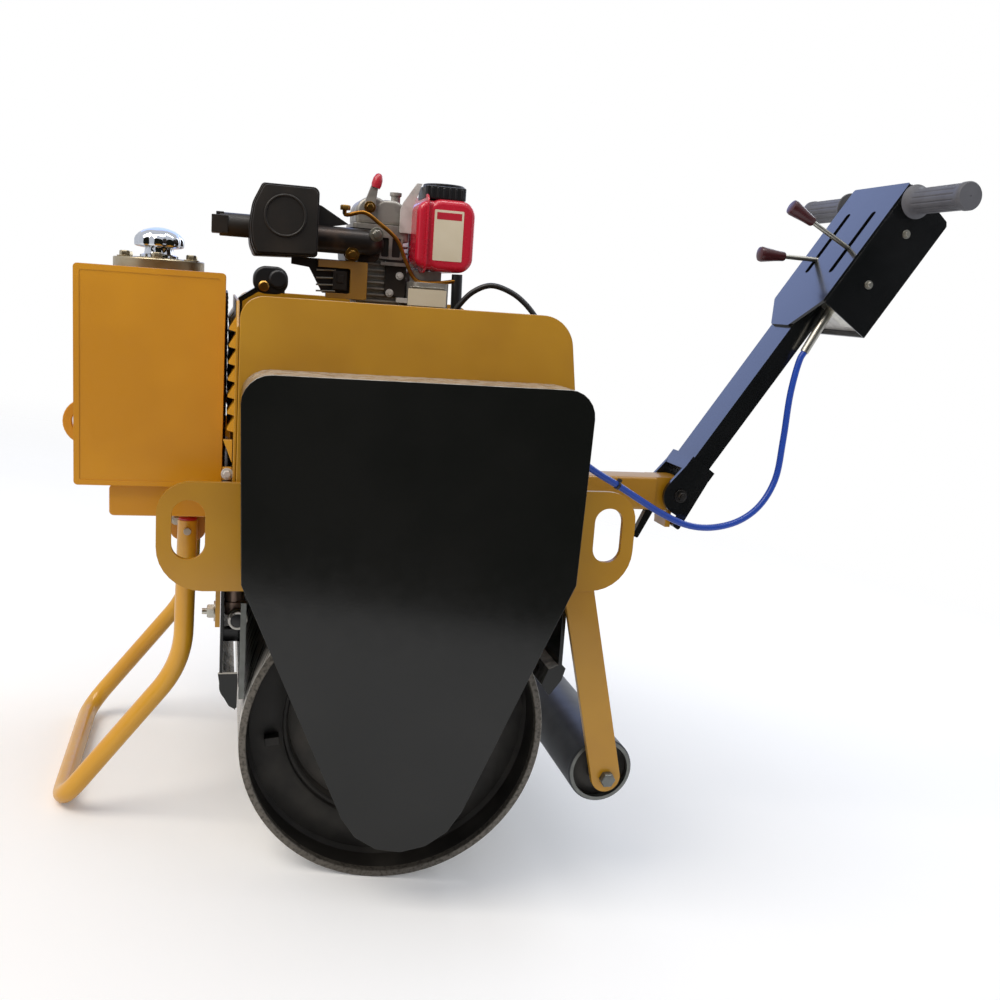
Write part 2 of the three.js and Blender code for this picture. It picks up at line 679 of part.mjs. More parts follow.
function frontScraper() {
  const front = RAIL_OUTER - 1;
  const back = front - GUARD_THICK;
  const knee = DRUM_RADIUS + 78;
  const toe = DRUM_RADIUS + 40;
  const guard = outline([
    [front, RAIL_BOTTOM - GAP],
    [back, RAIL_BOTTOM - GAP],
    [back, knee, 20],
    [sprayX + 2, toe + GUARD_THICK],
    [sprayX, toe],
    [front, knee - 12, 24],
  ]);
  const bladeTop = sprayZ - SPRAY_RADIUS - GAP;
  const spacers = [-0.7, 0, 0.7].map((share) => {
    const y = share * SCRAPER_HALF;
    return box(bladeX + 1, back + 1, y - SPACER_HALF, y + SPACER_HALF, bladeTop - 44, bladeTop - 26);
  });
  return join(
    alongY(guard, -SCRAPER_HALF, SCRAPER_HALF),
    box(bladeX, bladeX + BLADE_THICK, -SCRAPER_HALF, SCRAPER_HALF, bladeTop - BLADE_HEIGHT, bladeTop),
    ...spacers,
  );
}

function rearScraper() {
  const plate = -RAIL_OUTER;
  const block = outline([
    [plate, DRUM_RADIUS + 96],
    [plate - 6, DRUM_RADIUS + 90],
    [plate - 1, DRUM_RADIUS + 72],
    [plate + 16, DRUM_RADIUS + 49],
    [-DRUM_RADIUS + 1.5, DRUM_RADIUS + 66],
    [plate + 20, DRUM_RADIUS + 90],
    [plate + 6, DRUM_RADIUS + 96],
    [plate + 6, RAIL_BOTTOM - GAP],
    [plate, RAIL_BOTTOM - GAP],
  ]);
  return alongY(block, -SCRAPER_HALF, SCRAPER_HALF);
}

function sprayPipe() {
  const risers = [-0.9, 0.9].map((share) => {
    const y = share * SPRAY_HALF;
    return rod([sprayX + 5, y, sprayZ], [sprayX + 5, y, RAIL_BOTTOM - GAP], RISER_RADIUS, 20);
  });
  return join(rod([sprayX, -SPRAY_HALF, sprayZ], [sprayX, SPRAY_HALF, sprayZ], SPRAY_RADIUS, 24), ...risers);
}

part(chassis, "front_scraper", "black", frontScraper());
part(chassis, "rear_scraper", "black", rearScraper());
part(chassis, "spray_pipe", "darkSteel", sprayPipe());

// ---------------------------------------------------------------------------
// Hydraulic oil tank on its crossbeam
// ---------------------------------------------------------------------------
const beamX0 = panelFront + GAP;
const beamX1 = panelFront + CROSSBEAM_REACH;
const beamZ0 = RAIL_TOP + CROSSBEAM_LIFT;
const beamZ1 = beamZ0 + CROSSBEAM_HEIGHT;
const tankX0 = panelFront + TANK_SETBACK;
const tankX1 = tankX0 + TANK_LENGTH;
const tankZ0 = beamZ1 + GAP;
const tankZ1 = tankZ0 + TANK_HEIGHT;
const fillerX = (tankX0 + tankX1) / 2 + 4;

function oilTank() {
  const outer = rectangle(tankX0, tankX1, tankZ0, tankZ1, TANK_CORNER);
  const inner = rectangle(tankX0 + TANK_WALL, tankX1 - TANK_WALL,
    tankZ0 + TANK_WALL, tankZ1 - TANK_WALL, TANK_CORNER - TANK_WALL);
  return cut(
    alongY(outer, -TANK_HALF, TANK_HALF),
    alongY(inner, TANK_WALL - TANK_HALF, TANK_HALF - TANK_WALL),
    rod([fillerX, 0, tankZ1 - TANK_WALL - 1], [fillerX, 0, tankZ1 + 1], FILLER_NECK, 32),
  );
}

function fillerFlange() {
  const base = tankZ1 + GAP;
  return turnedAboutZ([
    [0, base],
    [FILLER_RADIUS, base],
    [FILLER_RADIUS, base + FILLER_HEIGHT * 0.5],
    [FILLER_RADIUS - 6, base + FILLER_HEIGHT],
    [0, base + FILLER_HEIGHT],
  ], 40).translate(fillerX, 0, 0);
}

function fillerCap() {
  const base = tankZ1 + FILLER_HEIGHT + 2 * GAP;
  const lobes = 8;
  const rim = new THREE.Shape();
  const steps = lobes * 6;
  for (let i = 0; i < steps; i += 1) {
    const angle = (2 * Math.PI * i) / steps;
    const radius = FILLER_CAP_RADIUS - 1.5 + 1.5 * Math.cos(lobes * angle);
    const move = i === 0 ? "moveTo" : "lineTo";
    rim[move](radius * Math.cos(angle), radius * Math.sin(angle));
  }
  return join(
    rod([0, 0, base], [0, 0, base + FILLER_CAP_HEIGHT / 2], FILLER_NECK - 2, 24),
    alongZ(rim, base + FILLER_CAP_HEIGHT * 0.3, base + FILLER_CAP_HEIGHT),
  ).translate(fillerX, 0, 0);
}

function liftingEye() {
  const eyeX = tankX1 + EYE_REACH;
  const eyeZ = tankZ1 - EYE_DROP;
  const plate = new THREE.Shape().absarc(eyeX, eyeZ, EYE_RADIUS, -Math.PI / 2, Math.PI / 2);
  plate.lineTo(tankX1 + GAP, eyeZ + EYE_RADIUS);
  plate.lineTo(tankX1 + GAP, eyeZ - EYE_RADIUS);
  plate.closePath();
  const hole = new THREE.Path().absarc(eyeX, eyeZ, EYE_HOLE, -Math.PI / 2, Math.PI / 2);
  hole.closePath();
  plate.holes.push(hole);
  return alongY(plate, -EYE_THICK / 2, EYE_THICK / 2, 8);
}

part(chassis, "front_crossbeam", "yellow",
  alongY(rectangle(beamX0, beamX1, beamZ0, beamZ1, 6), -CROSSBEAM_HALF, CROSSBEAM_HALF));
part(chassis, "oil_tank", "yellow", oilTank());
part(chassis, "filler_flange", "zinc", fillerFlange());
part(chassis, "filler_cap", "chrome", fillerCap());
part(chassis, "lifting_eye", "yellow", liftingEye());

// ---------------------------------------------------------------------------
// Front stand
// ---------------------------------------------------------------------------
const pinX = panelFront + STAND_PIN_AHEAD;
const pinZ = beamZ0 - STAND_PIN_DROP;

/** An upside-down U under the crossbeam, with the pin that the stand's leg hangs on. */
function standBracket() {
  const cheek = STAND_TUBE + 5;
  const outerY = cheek + BRACKET_THICK;
  const sides = outline([
    [-BRACKET_HALF_LENGTH, beamZ0 - GAP],
    [BRACKET_HALF_LENGTH, beamZ0 - GAP],
    [BRACKET_HALF_LENGTH, pinZ - 18, 14],
    [-BRACKET_HALF_LENGTH, pinZ - 18, 14],
  ]);
  const gap = box(-BRACKET_HALF_LENGTH - 1, BRACKET_HALF_LENGTH + 1, -cheek, cheek,
    pinZ - 40, beamZ0 - GAP - BRACKET_THICK);
  return join(
    cut(alongY(sides, -outerY, outerY), gap),
    rod([0, -outerY - 4, pinZ], [0, outerY + 4, pinZ], STAND_PIN_RADIUS, 20),
  ).translate(pinX, STAND_HALF, 0);
}

function frontStand() {
  const top = pinZ + STAND_EYE_ABOVE;
  const side = (y) => [
    [pinX, y, top],
    [pinX + STAND_KNEE_AHEAD, y, STAND_KNEE],
    [footX, y, STAND_FOOT_HEIGHT],
  ];
  const route = [...side(STAND_HALF), ...side(-STAND_HALF).reverse()];
  const bores = [-1, 1].map((end) =>
    rod([pinX, end * STAND_HALF - 2 * STAND_TUBE, pinZ], [pinX, end * STAND_HALF + 2 * STAND_TUBE, pinZ],
      STAND_PIN_RADIUS + GAP, 20));
  return cut(bentTube(route, STAND_BEND, STAND_TUBE, 10, 56), ...bores);
}

part(chassis, "left_stand_bracket", "yellow", standBracket());
part(chassis, "right_stand_bracket", "yellow", mirrored(standBracket()));
part(chassis, "front_stand", "yellow", frontStand());

// ---------------------------------------------------------------------------
// Engine: a single upright cylinder, crankshaft along the machine
// ---------------------------------------------------------------------------
const blockRear = BLOCK_AHEAD - BLOCK_HALF_LENGTH;
const blockFront = BLOCK_AHEAD + BLOCK_HALF_LENGTH;
const blockTop = DECK_TOP + GAP + BLOCK_HEIGHT;
const crankZ = DECK_TOP + CRANK_LIFT;
const cylinderTop = blockTop + GAP + CYLINDER_HEIGHT;
const mufflerX0 = CYLINDER_FRONT + MUFFLER_GAP;
const mufflerZ0 = DECK_TOP + MUFFLER_LIFT;
const fuelX1 = CYLINDER_REAR - FUEL_SETBACK;
const fuelX0 = fuelX1 - FUEL_LENGTH;
const shroudX1 = CYLINDER_REAR - GAP;
const shroudTop = blockTop + GAP + SHROUD_HEIGHT;
const fuelZ0 = shroudTop + CRADLE_HEIGHT + GAP;
const fuelZ1 = fuelZ0 + FUEL_HEIGHT;

function crankcase() {
  const block = box(blockRear, blockFront, -BLOCK_HALF_WIDTH, BLOCK_HALF_WIDTH, DECK_TOP + GAP, blockTop);
  const rim = blockRear - FLYWHEEL_THICK;
  const flywheel = rod([rim, 0, crankZ], [blockRear - GAP, 0, crankZ], FLYWHEEL_RADIUS, 40);
  const crank = rod([blockRear - 10, 0, crankZ], [blockRear + 10, 0, crankZ], CRANK_RADIUS, 24);
  return join(block, crank, flywheel);
}

/** The finned barrel and head: plates round a plain core. */
function cylinder() {
  const fins = [];
  const base = blockTop + GAP;
  const count = Math.floor((CYLINDER_HEIGHT - 14) / FIN_PITCH);
  const core = box(CYLINDER_REAR + FIN_DEPTH, CYLINDER_FRONT - FIN_DEPTH,
    CYLINDER_FAR + FIN_DEPTH, CYLINDER_NEAR - FIN_DEPTH, base, cylinderTop);
  const every = 3; // in the solid model every third fin stands for its group
  for (let i = every; i < count; i += every) {
    const z = base + i * FIN_PITCH;
    fins.push(box(CYLINDER_REAR, CYLINDER_FRONT, CYLINDER_FAR, CYLINDER_NEAR, z, z + 2 * FIN_PITCH));
  }
  const foot = box(CYLINDER_REAR, CYLINDER_FRONT, CYLINDER_FAR, CYLINDER_NEAR, base, base + 12);
  const head = box(CYLINDER_REAR, CYLINDER_FRONT, CYLINDER_FAR, CYLINDER_NEAR, cylinderTop - 40, cylinderTop);
  return join(core, ...fins, foot, head);
}

function rockerCover() {
  const plan = rectangle(CYLINDER_REAR + ROCKER_INSET, CYLINDER_FRONT - ROCKER_INSET,
    CYLINDER_FAR + ROCKER_INSET, CYLINDER_NEAR - ROCKER_INSET, 14);
  return alongZ(plan, cylinderTop + GAP, cylinderTop + GAP + ROCKER_HEIGHT);
}

function decompressionLever() {
  const face = CYLINDER_NEAR - ROCKER_INSET + GAP;
  const pivot = [LEVER_PIVOT_X, cylinderTop + LEVER_PIVOT_LIFT];
  const knob = [LEVER_PIVOT_X - LEVER_KNOB_BACK, cylinderTop + LEVER_KNOB_LIFT];
  return join(
    rod([pivot[0], face, pivot[1]], [pivot[0], face + 10, pivot[1]], 7, 16),
    rod([pivot[0], face + 6, pivot[1]], [knob[0], face + 6, knob[1]], 3, 10),
    rod([knob[0] + 1, face + 6, knob[1] - 8], [knob[0] - 2, face + 6, knob[1] + 12], 7, 16, 6),
  );
}

function muffler() {
  const front = mufflerX0 + MUFFLER_SIZE;
  const can = rectangle(mufflerX0, front, mufflerZ0, mufflerZ0 + MUFFLER_SIZE, MUFFLER_CORNER);
  const z = mufflerZ0 + MUFFLER_SIZE * TAIL_PIPE_LIFT;
  return join(
    alongY(can, MUFFLER_FAR, MUFFLER_NEAR, 4),
    rod([front - 4, TAIL_PIPE_Y, z], [front + TAIL_PIPE_LENGTH, TAIL_PIPE_Y, z], TAIL_PIPE_RADIUS, 24),
  );
}

function mufflerBracket() {
  const face = CYLINDER_NEAR + GAP;
  return box(CYLINDER_FRONT - 20, mufflerX0 + 32, face, face + MUFFLER_BRACKET_THICK,
    mufflerZ0 - MUFFLER_BRACKET_HEIGHT, mufflerZ0 - GAP);
}

function exhaustElbow() {
  const y = CYLINDER_NEAR + GAP + ELBOW_RADIUS + 1;
  const z = mufflerZ0 + ELBOW_LIFT;
  const x = CYLINDER_FRONT - ELBOW_RADIUS - 8;
  const route = [[mufflerX0 - GAP, y, z], [x, y, z], [x, CYLINDER_NEAR + GAP, z]];
  return bentTube(route, ELBOW_RADIUS, ELBOW_RADIUS, 12, 12);
}

/** The cooling-air shroud beside the cylinder, with the two strips that carry the fuel tank. */
function coolingShroud() {
  const plan = rectangle(shroudX1 - SHROUD_LENGTH, shroudX1, -BLOCK_HALF_WIDTH + 10, BLOCK_HALF_WIDTH + 5, 8);
  const strips = [-70, 50].map((y) =>
    box(shroudX1 - SHROUD_LENGTH + 4, shroudX1 - 4, y, y + 20, shroudTop - 1, shroudTop + CRADLE_HEIGHT));
  return join(alongZ(plan, blockTop + GAP, shroudTop), ...strips);
}

function recoilStarter() {
  const face = -(blockRear - FLYWHEEL_THICK - GAP);
  return turnedAboutX([
    [0, -face],
    [RECOIL_RADIUS, -face],
    [RECOIL_RADIUS, -face - RECOIL_THICK * 0.6],
    [RECOIL_RADIUS - 22, -face - RECOIL_THICK],
    [0, -face - RECOIL_THICK],
  ], 40).translate(0, 0, crankZ);
}

function hydraulicPump() {
  const start = blockFront + GAP;
  return turnedAboutX([
    [0, start],
    [BELL_RADIUS, start],
    [BELL_RADIUS, start + BELL_THICK],
    [PUMP_RADIUS, start + BELL_THICK + 8],
    [PUMP_RADIUS, start + PUMP_LENGTH],
    [0, start + PUMP_LENGTH],
  ], 32).translate(0, 0, crankZ);
}

function fuelTank() {
  const end = rectangle(fuelX0, fuelX1, fuelZ0, fuelZ1, FUEL_CORNER);
  return alongY(end, FUEL_FAR, FUEL_NEAR, 4);
}

function fuelCap() {
  const base = fuelZ1 + GAP;
  return turnedAboutZ([
    [0, base],
    [FUEL_CAP_RADIUS - 8, base],
    [FUEL_CAP_RADIUS - 8, base + 6],
    [FUEL_CAP_RADIUS, base + 6],
    [FUEL_CAP_RADIUS, base + FUEL_CAP_HEIGHT],
    [0, base + FUEL_CAP_HEIGHT],
  ], 32).translate((fuelX0 + fuelX1) / 2 - 14, 0, 0);
}

function airCleaner() {
  const face = CYLINDER_FAR - GAP;
  const can = turned([
    [0, -CLEANER_LENGTH],
    [CLEANER_RADIUS, -CLEANER_LENGTH],
    [CLEANER_RADIUS, -14],
    [CLEANER_RADIUS - 18, 0],
    [0, 0],
  ], 32);
  return can.translate((CYLINDER_REAR + CYLINDER_FRONT) / 2, face, cylinderTop - CLEANER_RADIUS);
}

/** A small switch box over the edge of the front panel, on a foot bolted inside the panel. */
function instrumentBox() {
  const front = BODY_HALF;
  const edge = PANEL_TOP - END_PANEL_DROP;
  const base = edge + METER_LIFT;
  return join(
    box(front - METER_LENGTH, front, METER_Y, METER_Y + METER_WIDTH, base, base + METER_HEIGHT),
    box(front - METER_FOOT, front, METER_Y, METER_Y + METER_WIDTH, edge - METER_FOOT_DROP, base + 1),
  );
}

part(chassis, "crankcase", "castAluminium", crankcase());
part(chassis, "cylinder", "castAluminium", cylinder());
part(chassis, "rocker_cover", "castAluminium", rockerCover());
part(chassis, "decompression_lever", "redKnob", decompressionLever());
part(chassis, "muffler", "charcoal", muffler());
part(chassis, "muffler_bracket", "ochre", mufflerBracket());
part(chassis, "exhaust_elbow", "charcoal", exhaustElbow());
part(chassis, "cooling_shroud", "castAluminium", coolingShroud());
part(chassis, "recoil_starter", "black", recoilStarter());
part(chassis, "hydraulic_pump", "castAluminium", hydraulicPump());
part(chassis, "fuel_tank", "red", fuelTank());
part(chassis, "fuel_cap", "plastic", fuelCap());
part(chassis, "air_cleaner", "black", airCleaner());

// ---------------------------------------------------------------------------
// Handle: beam, pivot, arm, control box and bar
// ---------------------------------------------------------------------------
const pivotX = -panelFront - HANDLE_PIVOT_BEHIND;
const pivotZ = RAIL_TOP + HANDLE_PIVOT_LIFT;
const lean = ARM_LEAN * DEGREE;

/** The square beam behind the body, its rounded tongue, the pivot pin and the stop under it. */
function handleBeam() {
  const end = pivotX + BEAM_END;
  const tongue = new THREE.Shape().absarc(pivotX, pivotZ, BEAM_HALF_HEIGHT, Math.PI / 2, (3 * Math.PI) / 2);
  tongue.lineTo(end + 1, pivotZ - BEAM_HALF_HEIGHT);
  tongue.lineTo(end + 1, pivotZ + BEAM_HALF_HEIGHT);
  tongue.closePath();
  const beam = rectangle(-BEAM_HALF, BEAM_HALF, pivotZ - BEAM_HALF_HEIGHT, pivotZ + BEAM_HALF_HEIGHT, 5);
  const pinHalf = ARM_HALF + CHEEK_THICK + 2;
  const stopBack = CHEEK_BACK - LUG_WIDTH / 2;
  const stopX = pivotX - (STOP_RADIUS - LUG_DROP) * Math.sin(lean) - stopBack * Math.cos(lean);
  const stop = box(stopX + STOP_RADIUS + GAP, stopX + STOP_RADIUS + GAP + 9, 4 - BEAM_HALF, BEAM_HALF - 4,
    pivotZ - LUG_DROP - 10, pivotZ - BEAM_HALF_HEIGHT + 1);
  return join(
    alongX(beam, end, -panelFront - GAP),
    alongY(tongue, 2 - BEAM_HALF, BEAM_HALF - 2, 8),
    rod([pivotX, -pinHalf, pivotZ], [pivotX, pinHalf, pivotZ], PIVOT_PIN_RADIUS, 24),
    stop,
  );
}

function latchLever() {
  const top = pivotZ - BEAM_HALF_HEIGHT - GAP;
  const x = pivotX + BEAM_END + 4;
  const bar = outline([[x - 6, top], [x + 9, top], [x + 29, top - 46, 3], [x + 19, top - 50, 3]]);
  return alongY(bar, 12, 24);
}

const arm = new THREE.Group(); // x: out of the arm's upper face, z: up along the arm
arm.position.set(pivotX, 0, pivotZ);
arm.rotation.y = -lean;
chassis.add(arm);

/** The rectangular tube with the forked bracket that turns on the pivot pin. */
function handleArm() {
  const halfDepth = ARM_DEPTH / 2;
  const tube = cut(
    box(-halfDepth, halfDepth, -ARM_HALF, ARM_HALF, COLLAR_TOP - 20, ARM_TOP),
    box(ARM_WALL - halfDepth, halfDepth - ARM_WALL, ARM_WALL - ARM_HALF, ARM_HALF - ARM_WALL,
      COLLAR_TOP - 8, ARM_TOP + 1),
  );
  const cheek = outline([
    [-CHEEK_BACK, -LUG_DROP, 4],
    [LUG_WIDTH - CHEEK_BACK, -LUG_DROP, 4],
    [LUG_WIDTH - CHEEK_BACK + 3, -CHEEK_RADIUS + 4],
    [CHEEK_RADIUS, -CHEEK_RADIUS, CHEEK_RADIUS - 2],
    [COLLAR_FRONT, CHEEK_TOP],
    [COLLAR_FRONT, COLLAR_TOP],
    [-COLLAR_BACK, COLLAR_TOP],
    [-COLLAR_BACK, CHEEK_TOP],
  ]);
  cheek.holes.push(circle(0, 0, PIVOT_PIN_RADIUS + RUNNING));
  const inside = ARM_HALF - 0.1;
  const outside = ARM_HALF + CHEEK_THICK;
  const root = box(-COLLAR_BACK, COLLAR_FRONT, -ARM_HALF - 0.2, ARM_HALF + 0.2, CHEEK_TOP - 6, COLLAR_TOP);
  const stopAt = [LUG_WIDTH / 2 - CHEEK_BACK, STOP_RADIUS - LUG_DROP];
  return join(
    root,
    tube,
    alongY(cheek, inside, outside, 6),
    alongY(cheek, -outside, -inside, 6),
    rod([stopAt[0], -outside + 1, stopAt[1]], [stopAt[0], outside - 1, stopAt[1]], STOP_RADIUS, 16),
  );
}

const boxTop = BOX_START + BOX_LENGTH;
const boxInner = BOX_FACE - PLATE_THICK - GAP;
const boxBack = BOX_FACE - BOX_DEPTH;

/** A folded sheet box, open towards the top plate and at its lower end, round the arm. */
function controlBox() {
  const side = outline([
    [boxInner, BOX_START],
    [boxInner, boxTop],
    [boxBack + BOX_CHAMFER, boxTop, 6],
    [boxBack, boxTop - 2, 10],
    [boxBack, BOX_START],
  ]);
  const hollow = outline([
    [boxInner + 1, BOX_START - 1],
    [boxInner + 1, boxTop - BOX_WALL],
    [boxBack + BOX_CHAMFER, boxTop - BOX_WALL, 3],
    [boxBack + BOX_WALL, boxTop - 2 - BOX_WALL, 7],
    [boxBack + BOX_WALL, BOX_START - 1],
  ]);
  const barHole = rod([0, -BOX_HALF - 1, BOX_START + BAR_ALONG], [0, BOX_HALF + 1, BOX_START + BAR_ALONG],
    BAR_RADIUS + GAP, 28);
  return cut(
    alongY(side, -BOX_HALF, BOX_HALF),
    alongY(hollow, BOX_WALL - BOX_HALF, BOX_HALF - BOX_WALL),
    barHole,
  );
}

function controlPlate() {
  const plan = outline([
    [-PLATE_TAIL_HALF, BOX_START - PLATE_TAIL, 6],
    [PLATE_TAIL_HALF, BOX_START - PLATE_TAIL, 6],
    [BOX_HALF, BOX_START, 8],
    [BOX_HALF, boxTop, 4],
    [-BOX_HALF, boxTop, 4],
    [-BOX_HALF, BOX_START, 8],
  ]);
  const start = BOX_START + LEVER_SLOT_START;
  for (const y of [-LEVER_SLOT_OUT, LEVER_SLOT_OUT]) {
    plan.holes.push(rectangle(y - LEVER_SLOT_HALF, y + LEVER_SLOT_HALF,
      start, start + LEVER_SLOT_LENGTH, LEVER_SLOT_HALF - 0.5));
  }
  return alongX(plan, BOX_FACE - PLATE_THICK, BOX_FACE);
}

/** Both control levers on the shaft that they share inside the box. */
function controlLevers() {
  const pivot = [BOX_FACE - LEVER_PIVOT_DEPTH, BOX_START + LEVER_PIVOT_ALONG];
  const shaftHalf = BOX_HALF - BOX_WALL - GAP;
  const lever = (y, alongPlate, tipX, tipZ) => {
    const tip = new THREE.Vector3(tipX, y, tipZ);
    const onPlate = new THREE.Vector3(BOX_FACE, y, alongPlate);
    const knobStart = tip.clone().sub(onPlate).setLength(-44).add(tip);
    return [
      rod([pivot[0], y, pivot[1]], onPlate.toArray(), LEVER_RADIUS, 8),
      rod(onPlate.toArray(), knobStart.toArray(), LEVER_RADIUS, 8),
      rod(knobStart.toArray(), tip.toArray(), 7, 12, 11.5),
    ];
  };
  return join(
    rod([pivot[0], -shaftHalf, pivot[1]], [pivot[0], shaftHalf, pivot[1]], 6, 16),
    ...lever(LEVER_SLOT_OUT, BOX_START + 108, 150, 487),
    ...lever(-LEVER_SLOT_OUT, BOX_START + 85, 115, 419),
  );
}

function handlebar() {
  return rod([0, -BAR_HALF, BOX_START + BAR_ALONG], [0, BAR_HALF, BOX_START + BAR_ALONG], BAR_RADIUS, 24);
}

function grip() {
  const bore = BAR_RADIUS + GAP;
  return turned([
    [bore, GRIP_START],
    [GRIP_RADIUS + 5, GRIP_START],
    [GRIP_RADIUS + 5, GRIP_START + 6],
    [GRIP_RADIUS, GRIP_START + 6],
    [GRIP_RADIUS, BAR_HALF - 4],
    [GRIP_RADIUS - 4, BAR_HALF],
    [bore, BAR_HALF],
  ], 28).translate(0, 0, BOX_START + BAR_ALONG);
}

part(chassis, "handle_beam", "yellow", handleBeam());
part(chassis, "latch_lever", "black", latchLever());
part(arm, "handle_arm", "black", handleArm());
part(arm, "control_box", "black", controlBox());
part(arm, "control_plate", "black", controlPlate());
part(arm, "control_levers", "maroon", controlLevers());
part(arm, "handlebar", "zinc", handlebar());
part(arm, "left_grip", "rubber", grip());
part(arm, "right_grip", "rubber", mirrored(grip()));

// ---------------------------------------------------------------------------
// Cables
// ---------------------------------------------------------------------------
const glandY = 110;
const glandZ = RAIL_TOP + 125;
const glandX = -panelFront - GAP;

/** Hand-placed points of the blue cable, from the gland on the rear panel to the fitting by the arm. */
const CONTROL_ROUTE = [
  [glandX - GLAND_LENGTH - 2 * GAP, glandY, glandZ],
  [glandX - GLAND_LENGTH - 14, glandY, glandZ - 1],
  [-292, 107, 586],
  [-336, 100, 560],
  [-380, 92, 537],
  [-419, 86, 515],
  [-468, 80, 489],
  [-517, 76, 471],
  [-566, 70, 468],
  [-613, 66, 480],
  [-649, 62, 506],
  [-674, 58, 550],
  [-682, 55, 619],
  [-687, 52, 700],
  [-698.4, 50, 757.4],
  [-704, 50, 768],
];

/** Hand-placed points of the black cable that arches over the left panel's edge. */
const THROTTLE_ROUTE = [
  [-50, BLOCK_HALF_WIDTH + 5 + GAP + THROTTLE_CABLE_RADIUS, 770],
  [-62, 124, 800],
  [-88, 140, 826],
  [-118, 152, 836],
  [-152, 164, 826],
  [-184, 176, 798],
  [-204, 183, 760],
  [-214, 186, 742],
  [-223, 187, 740],
];

/** The tube that the cable ends in, on a small plate between the arm and the box's left side. */
function cableFitting() {
  chassis.updateMatrixWorld(true);
  const [before, end] = CONTROL_ROUTE.slice(-2).map((point) =>
    arm.worldToLocal(chassis.localToWorld(new THREE.Vector3(...point))));
  const direction = end.clone().sub(before).normalize();
  const start = end.clone().addScaledVector(direction, GAP);
  const plateZ = BOX_START + 6;
  const top = start.clone().addScaledVector(direction, (plateZ + FITTING_BRACKET - start.z) / direction.z);
  return join(
    rod(start.toArray(), top.toArray(), FITTING_RADIUS - 1, 16, FITTING_RADIUS),
    box(top.x - 46, BOX_FACE - PLATE_THICK - GAP, ARM_HALF + GAP, BOX_HALF - BOX_WALL - GAP,
      plateZ, plateZ + FITTING_BRACKET),
  );
}

part(chassis, "cable_gland", "plastic", rod([glandX - GLAND_LENGTH, glandY, glandZ], [glandX, glandY, glandZ],
  GLAND_RADIUS, 20));
part(chassis, "control_cable", "blueCable", cord(CONTROL_ROUTE, CABLE_RADIUS, 8, 52));
part(chassis, "throttle_cable", "blackCable", cord(THROTTLE_ROUTE, THROTTLE_CABLE_RADIUS, 8, 24));
part(arm, "cable_fitting", "zinc", cableFitting());
part(chassis, "instrument_box", "plastic", instrumentBox());

// The origin is on the ground under the middle of the whole machine.
roller.updateMatrixWorld(true);
const bounds = new THREE.Box3().setFromObject(roller, true);
roller.position.x -= (bounds.min.x + bounds.max.x) / 2;
roller.position.z -= bounds.min.z;

export default roller;
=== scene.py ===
# %% [markdown]
# # A walk-behind vibratory roller
# The CAD model gives the roller's bodies, its joints and every size. This lesson
# dresses that frame: thin sheet edges, round tubes, bolts and louvres are built
# around it, and each surface gets the material that the real machine has.

# %% Load the frame
import json
import math

import bmesh
import bpy
from mathutils import Matrix, Vector
from mathutils.geometry import tessellate_polygon


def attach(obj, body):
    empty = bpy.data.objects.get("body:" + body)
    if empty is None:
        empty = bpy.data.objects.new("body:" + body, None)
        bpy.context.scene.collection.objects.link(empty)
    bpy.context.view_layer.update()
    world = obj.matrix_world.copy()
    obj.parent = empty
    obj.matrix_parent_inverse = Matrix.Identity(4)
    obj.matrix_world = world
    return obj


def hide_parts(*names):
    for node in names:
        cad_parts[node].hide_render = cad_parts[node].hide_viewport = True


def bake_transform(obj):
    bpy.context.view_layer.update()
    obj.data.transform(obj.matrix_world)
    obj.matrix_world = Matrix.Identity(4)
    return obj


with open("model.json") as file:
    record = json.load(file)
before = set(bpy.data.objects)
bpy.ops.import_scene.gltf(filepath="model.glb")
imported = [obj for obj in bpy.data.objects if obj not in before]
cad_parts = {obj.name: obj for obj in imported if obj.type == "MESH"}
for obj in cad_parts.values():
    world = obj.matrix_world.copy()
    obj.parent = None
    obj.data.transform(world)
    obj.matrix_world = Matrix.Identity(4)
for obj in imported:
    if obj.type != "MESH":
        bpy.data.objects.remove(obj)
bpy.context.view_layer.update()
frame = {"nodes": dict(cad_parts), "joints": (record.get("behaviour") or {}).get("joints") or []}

# %% [markdown]
# ## Two working frames
# The roller is parked nose down on its stand, so nothing on it is square to the
# floor. It is easier to build in a level chassis, in millimetres, with X running
# forwards from the drum's axle and Z up from the ground, and to tip the finished
# piece into place. The tilt comes from two joints whose level places are known.

# %% The level chassis and the handle's own frame
MM = 0.001  # one millimetre, in metres
DRUM_R = 212.5
AXLE = Vector((0, 0, DRUM_R))
PIVOT = Vector((-509.3, 0, 515))
ARM_LEAN = math.radians(33.6)
joint_at = {joint["name"]: Vector(joint["pos_m"]) for joint in frame["joints"]}
level = PIVOT - AXLE
tipped = joint_at["handle_tilt"] - joint_at["drum_spin"]
PITCH = math.atan2(level.z, level.x) - math.atan2(tipped.z, tipped.x)
CHASSIS = (
    Matrix.Translation(joint_at["drum_spin"])
    @ Matrix.Rotation(PITCH, 4, "Y")
    @ Matrix.Scale(MM, 4)
    @ Matrix.Translation(-AXLE)
)
ARM = CHASSIS @ Matrix.Translation(PIVOT) @ Matrix.Rotation(-ARM_LEAN, 4, "Y")
print("parked nose down by", round(math.degrees(PITCH), 2), "degrees")


# %% [markdown]
# ## Shapes
# Almost everything here is sheet, bar, tube or a turned part. So four shapes are
# enough: a flat outline pushed through a thickness, a profile turned round an
# axis, a tube along a path, and a bolt. Each is a list of points and a list of
# faces, which makes it easy to put several in one piece.


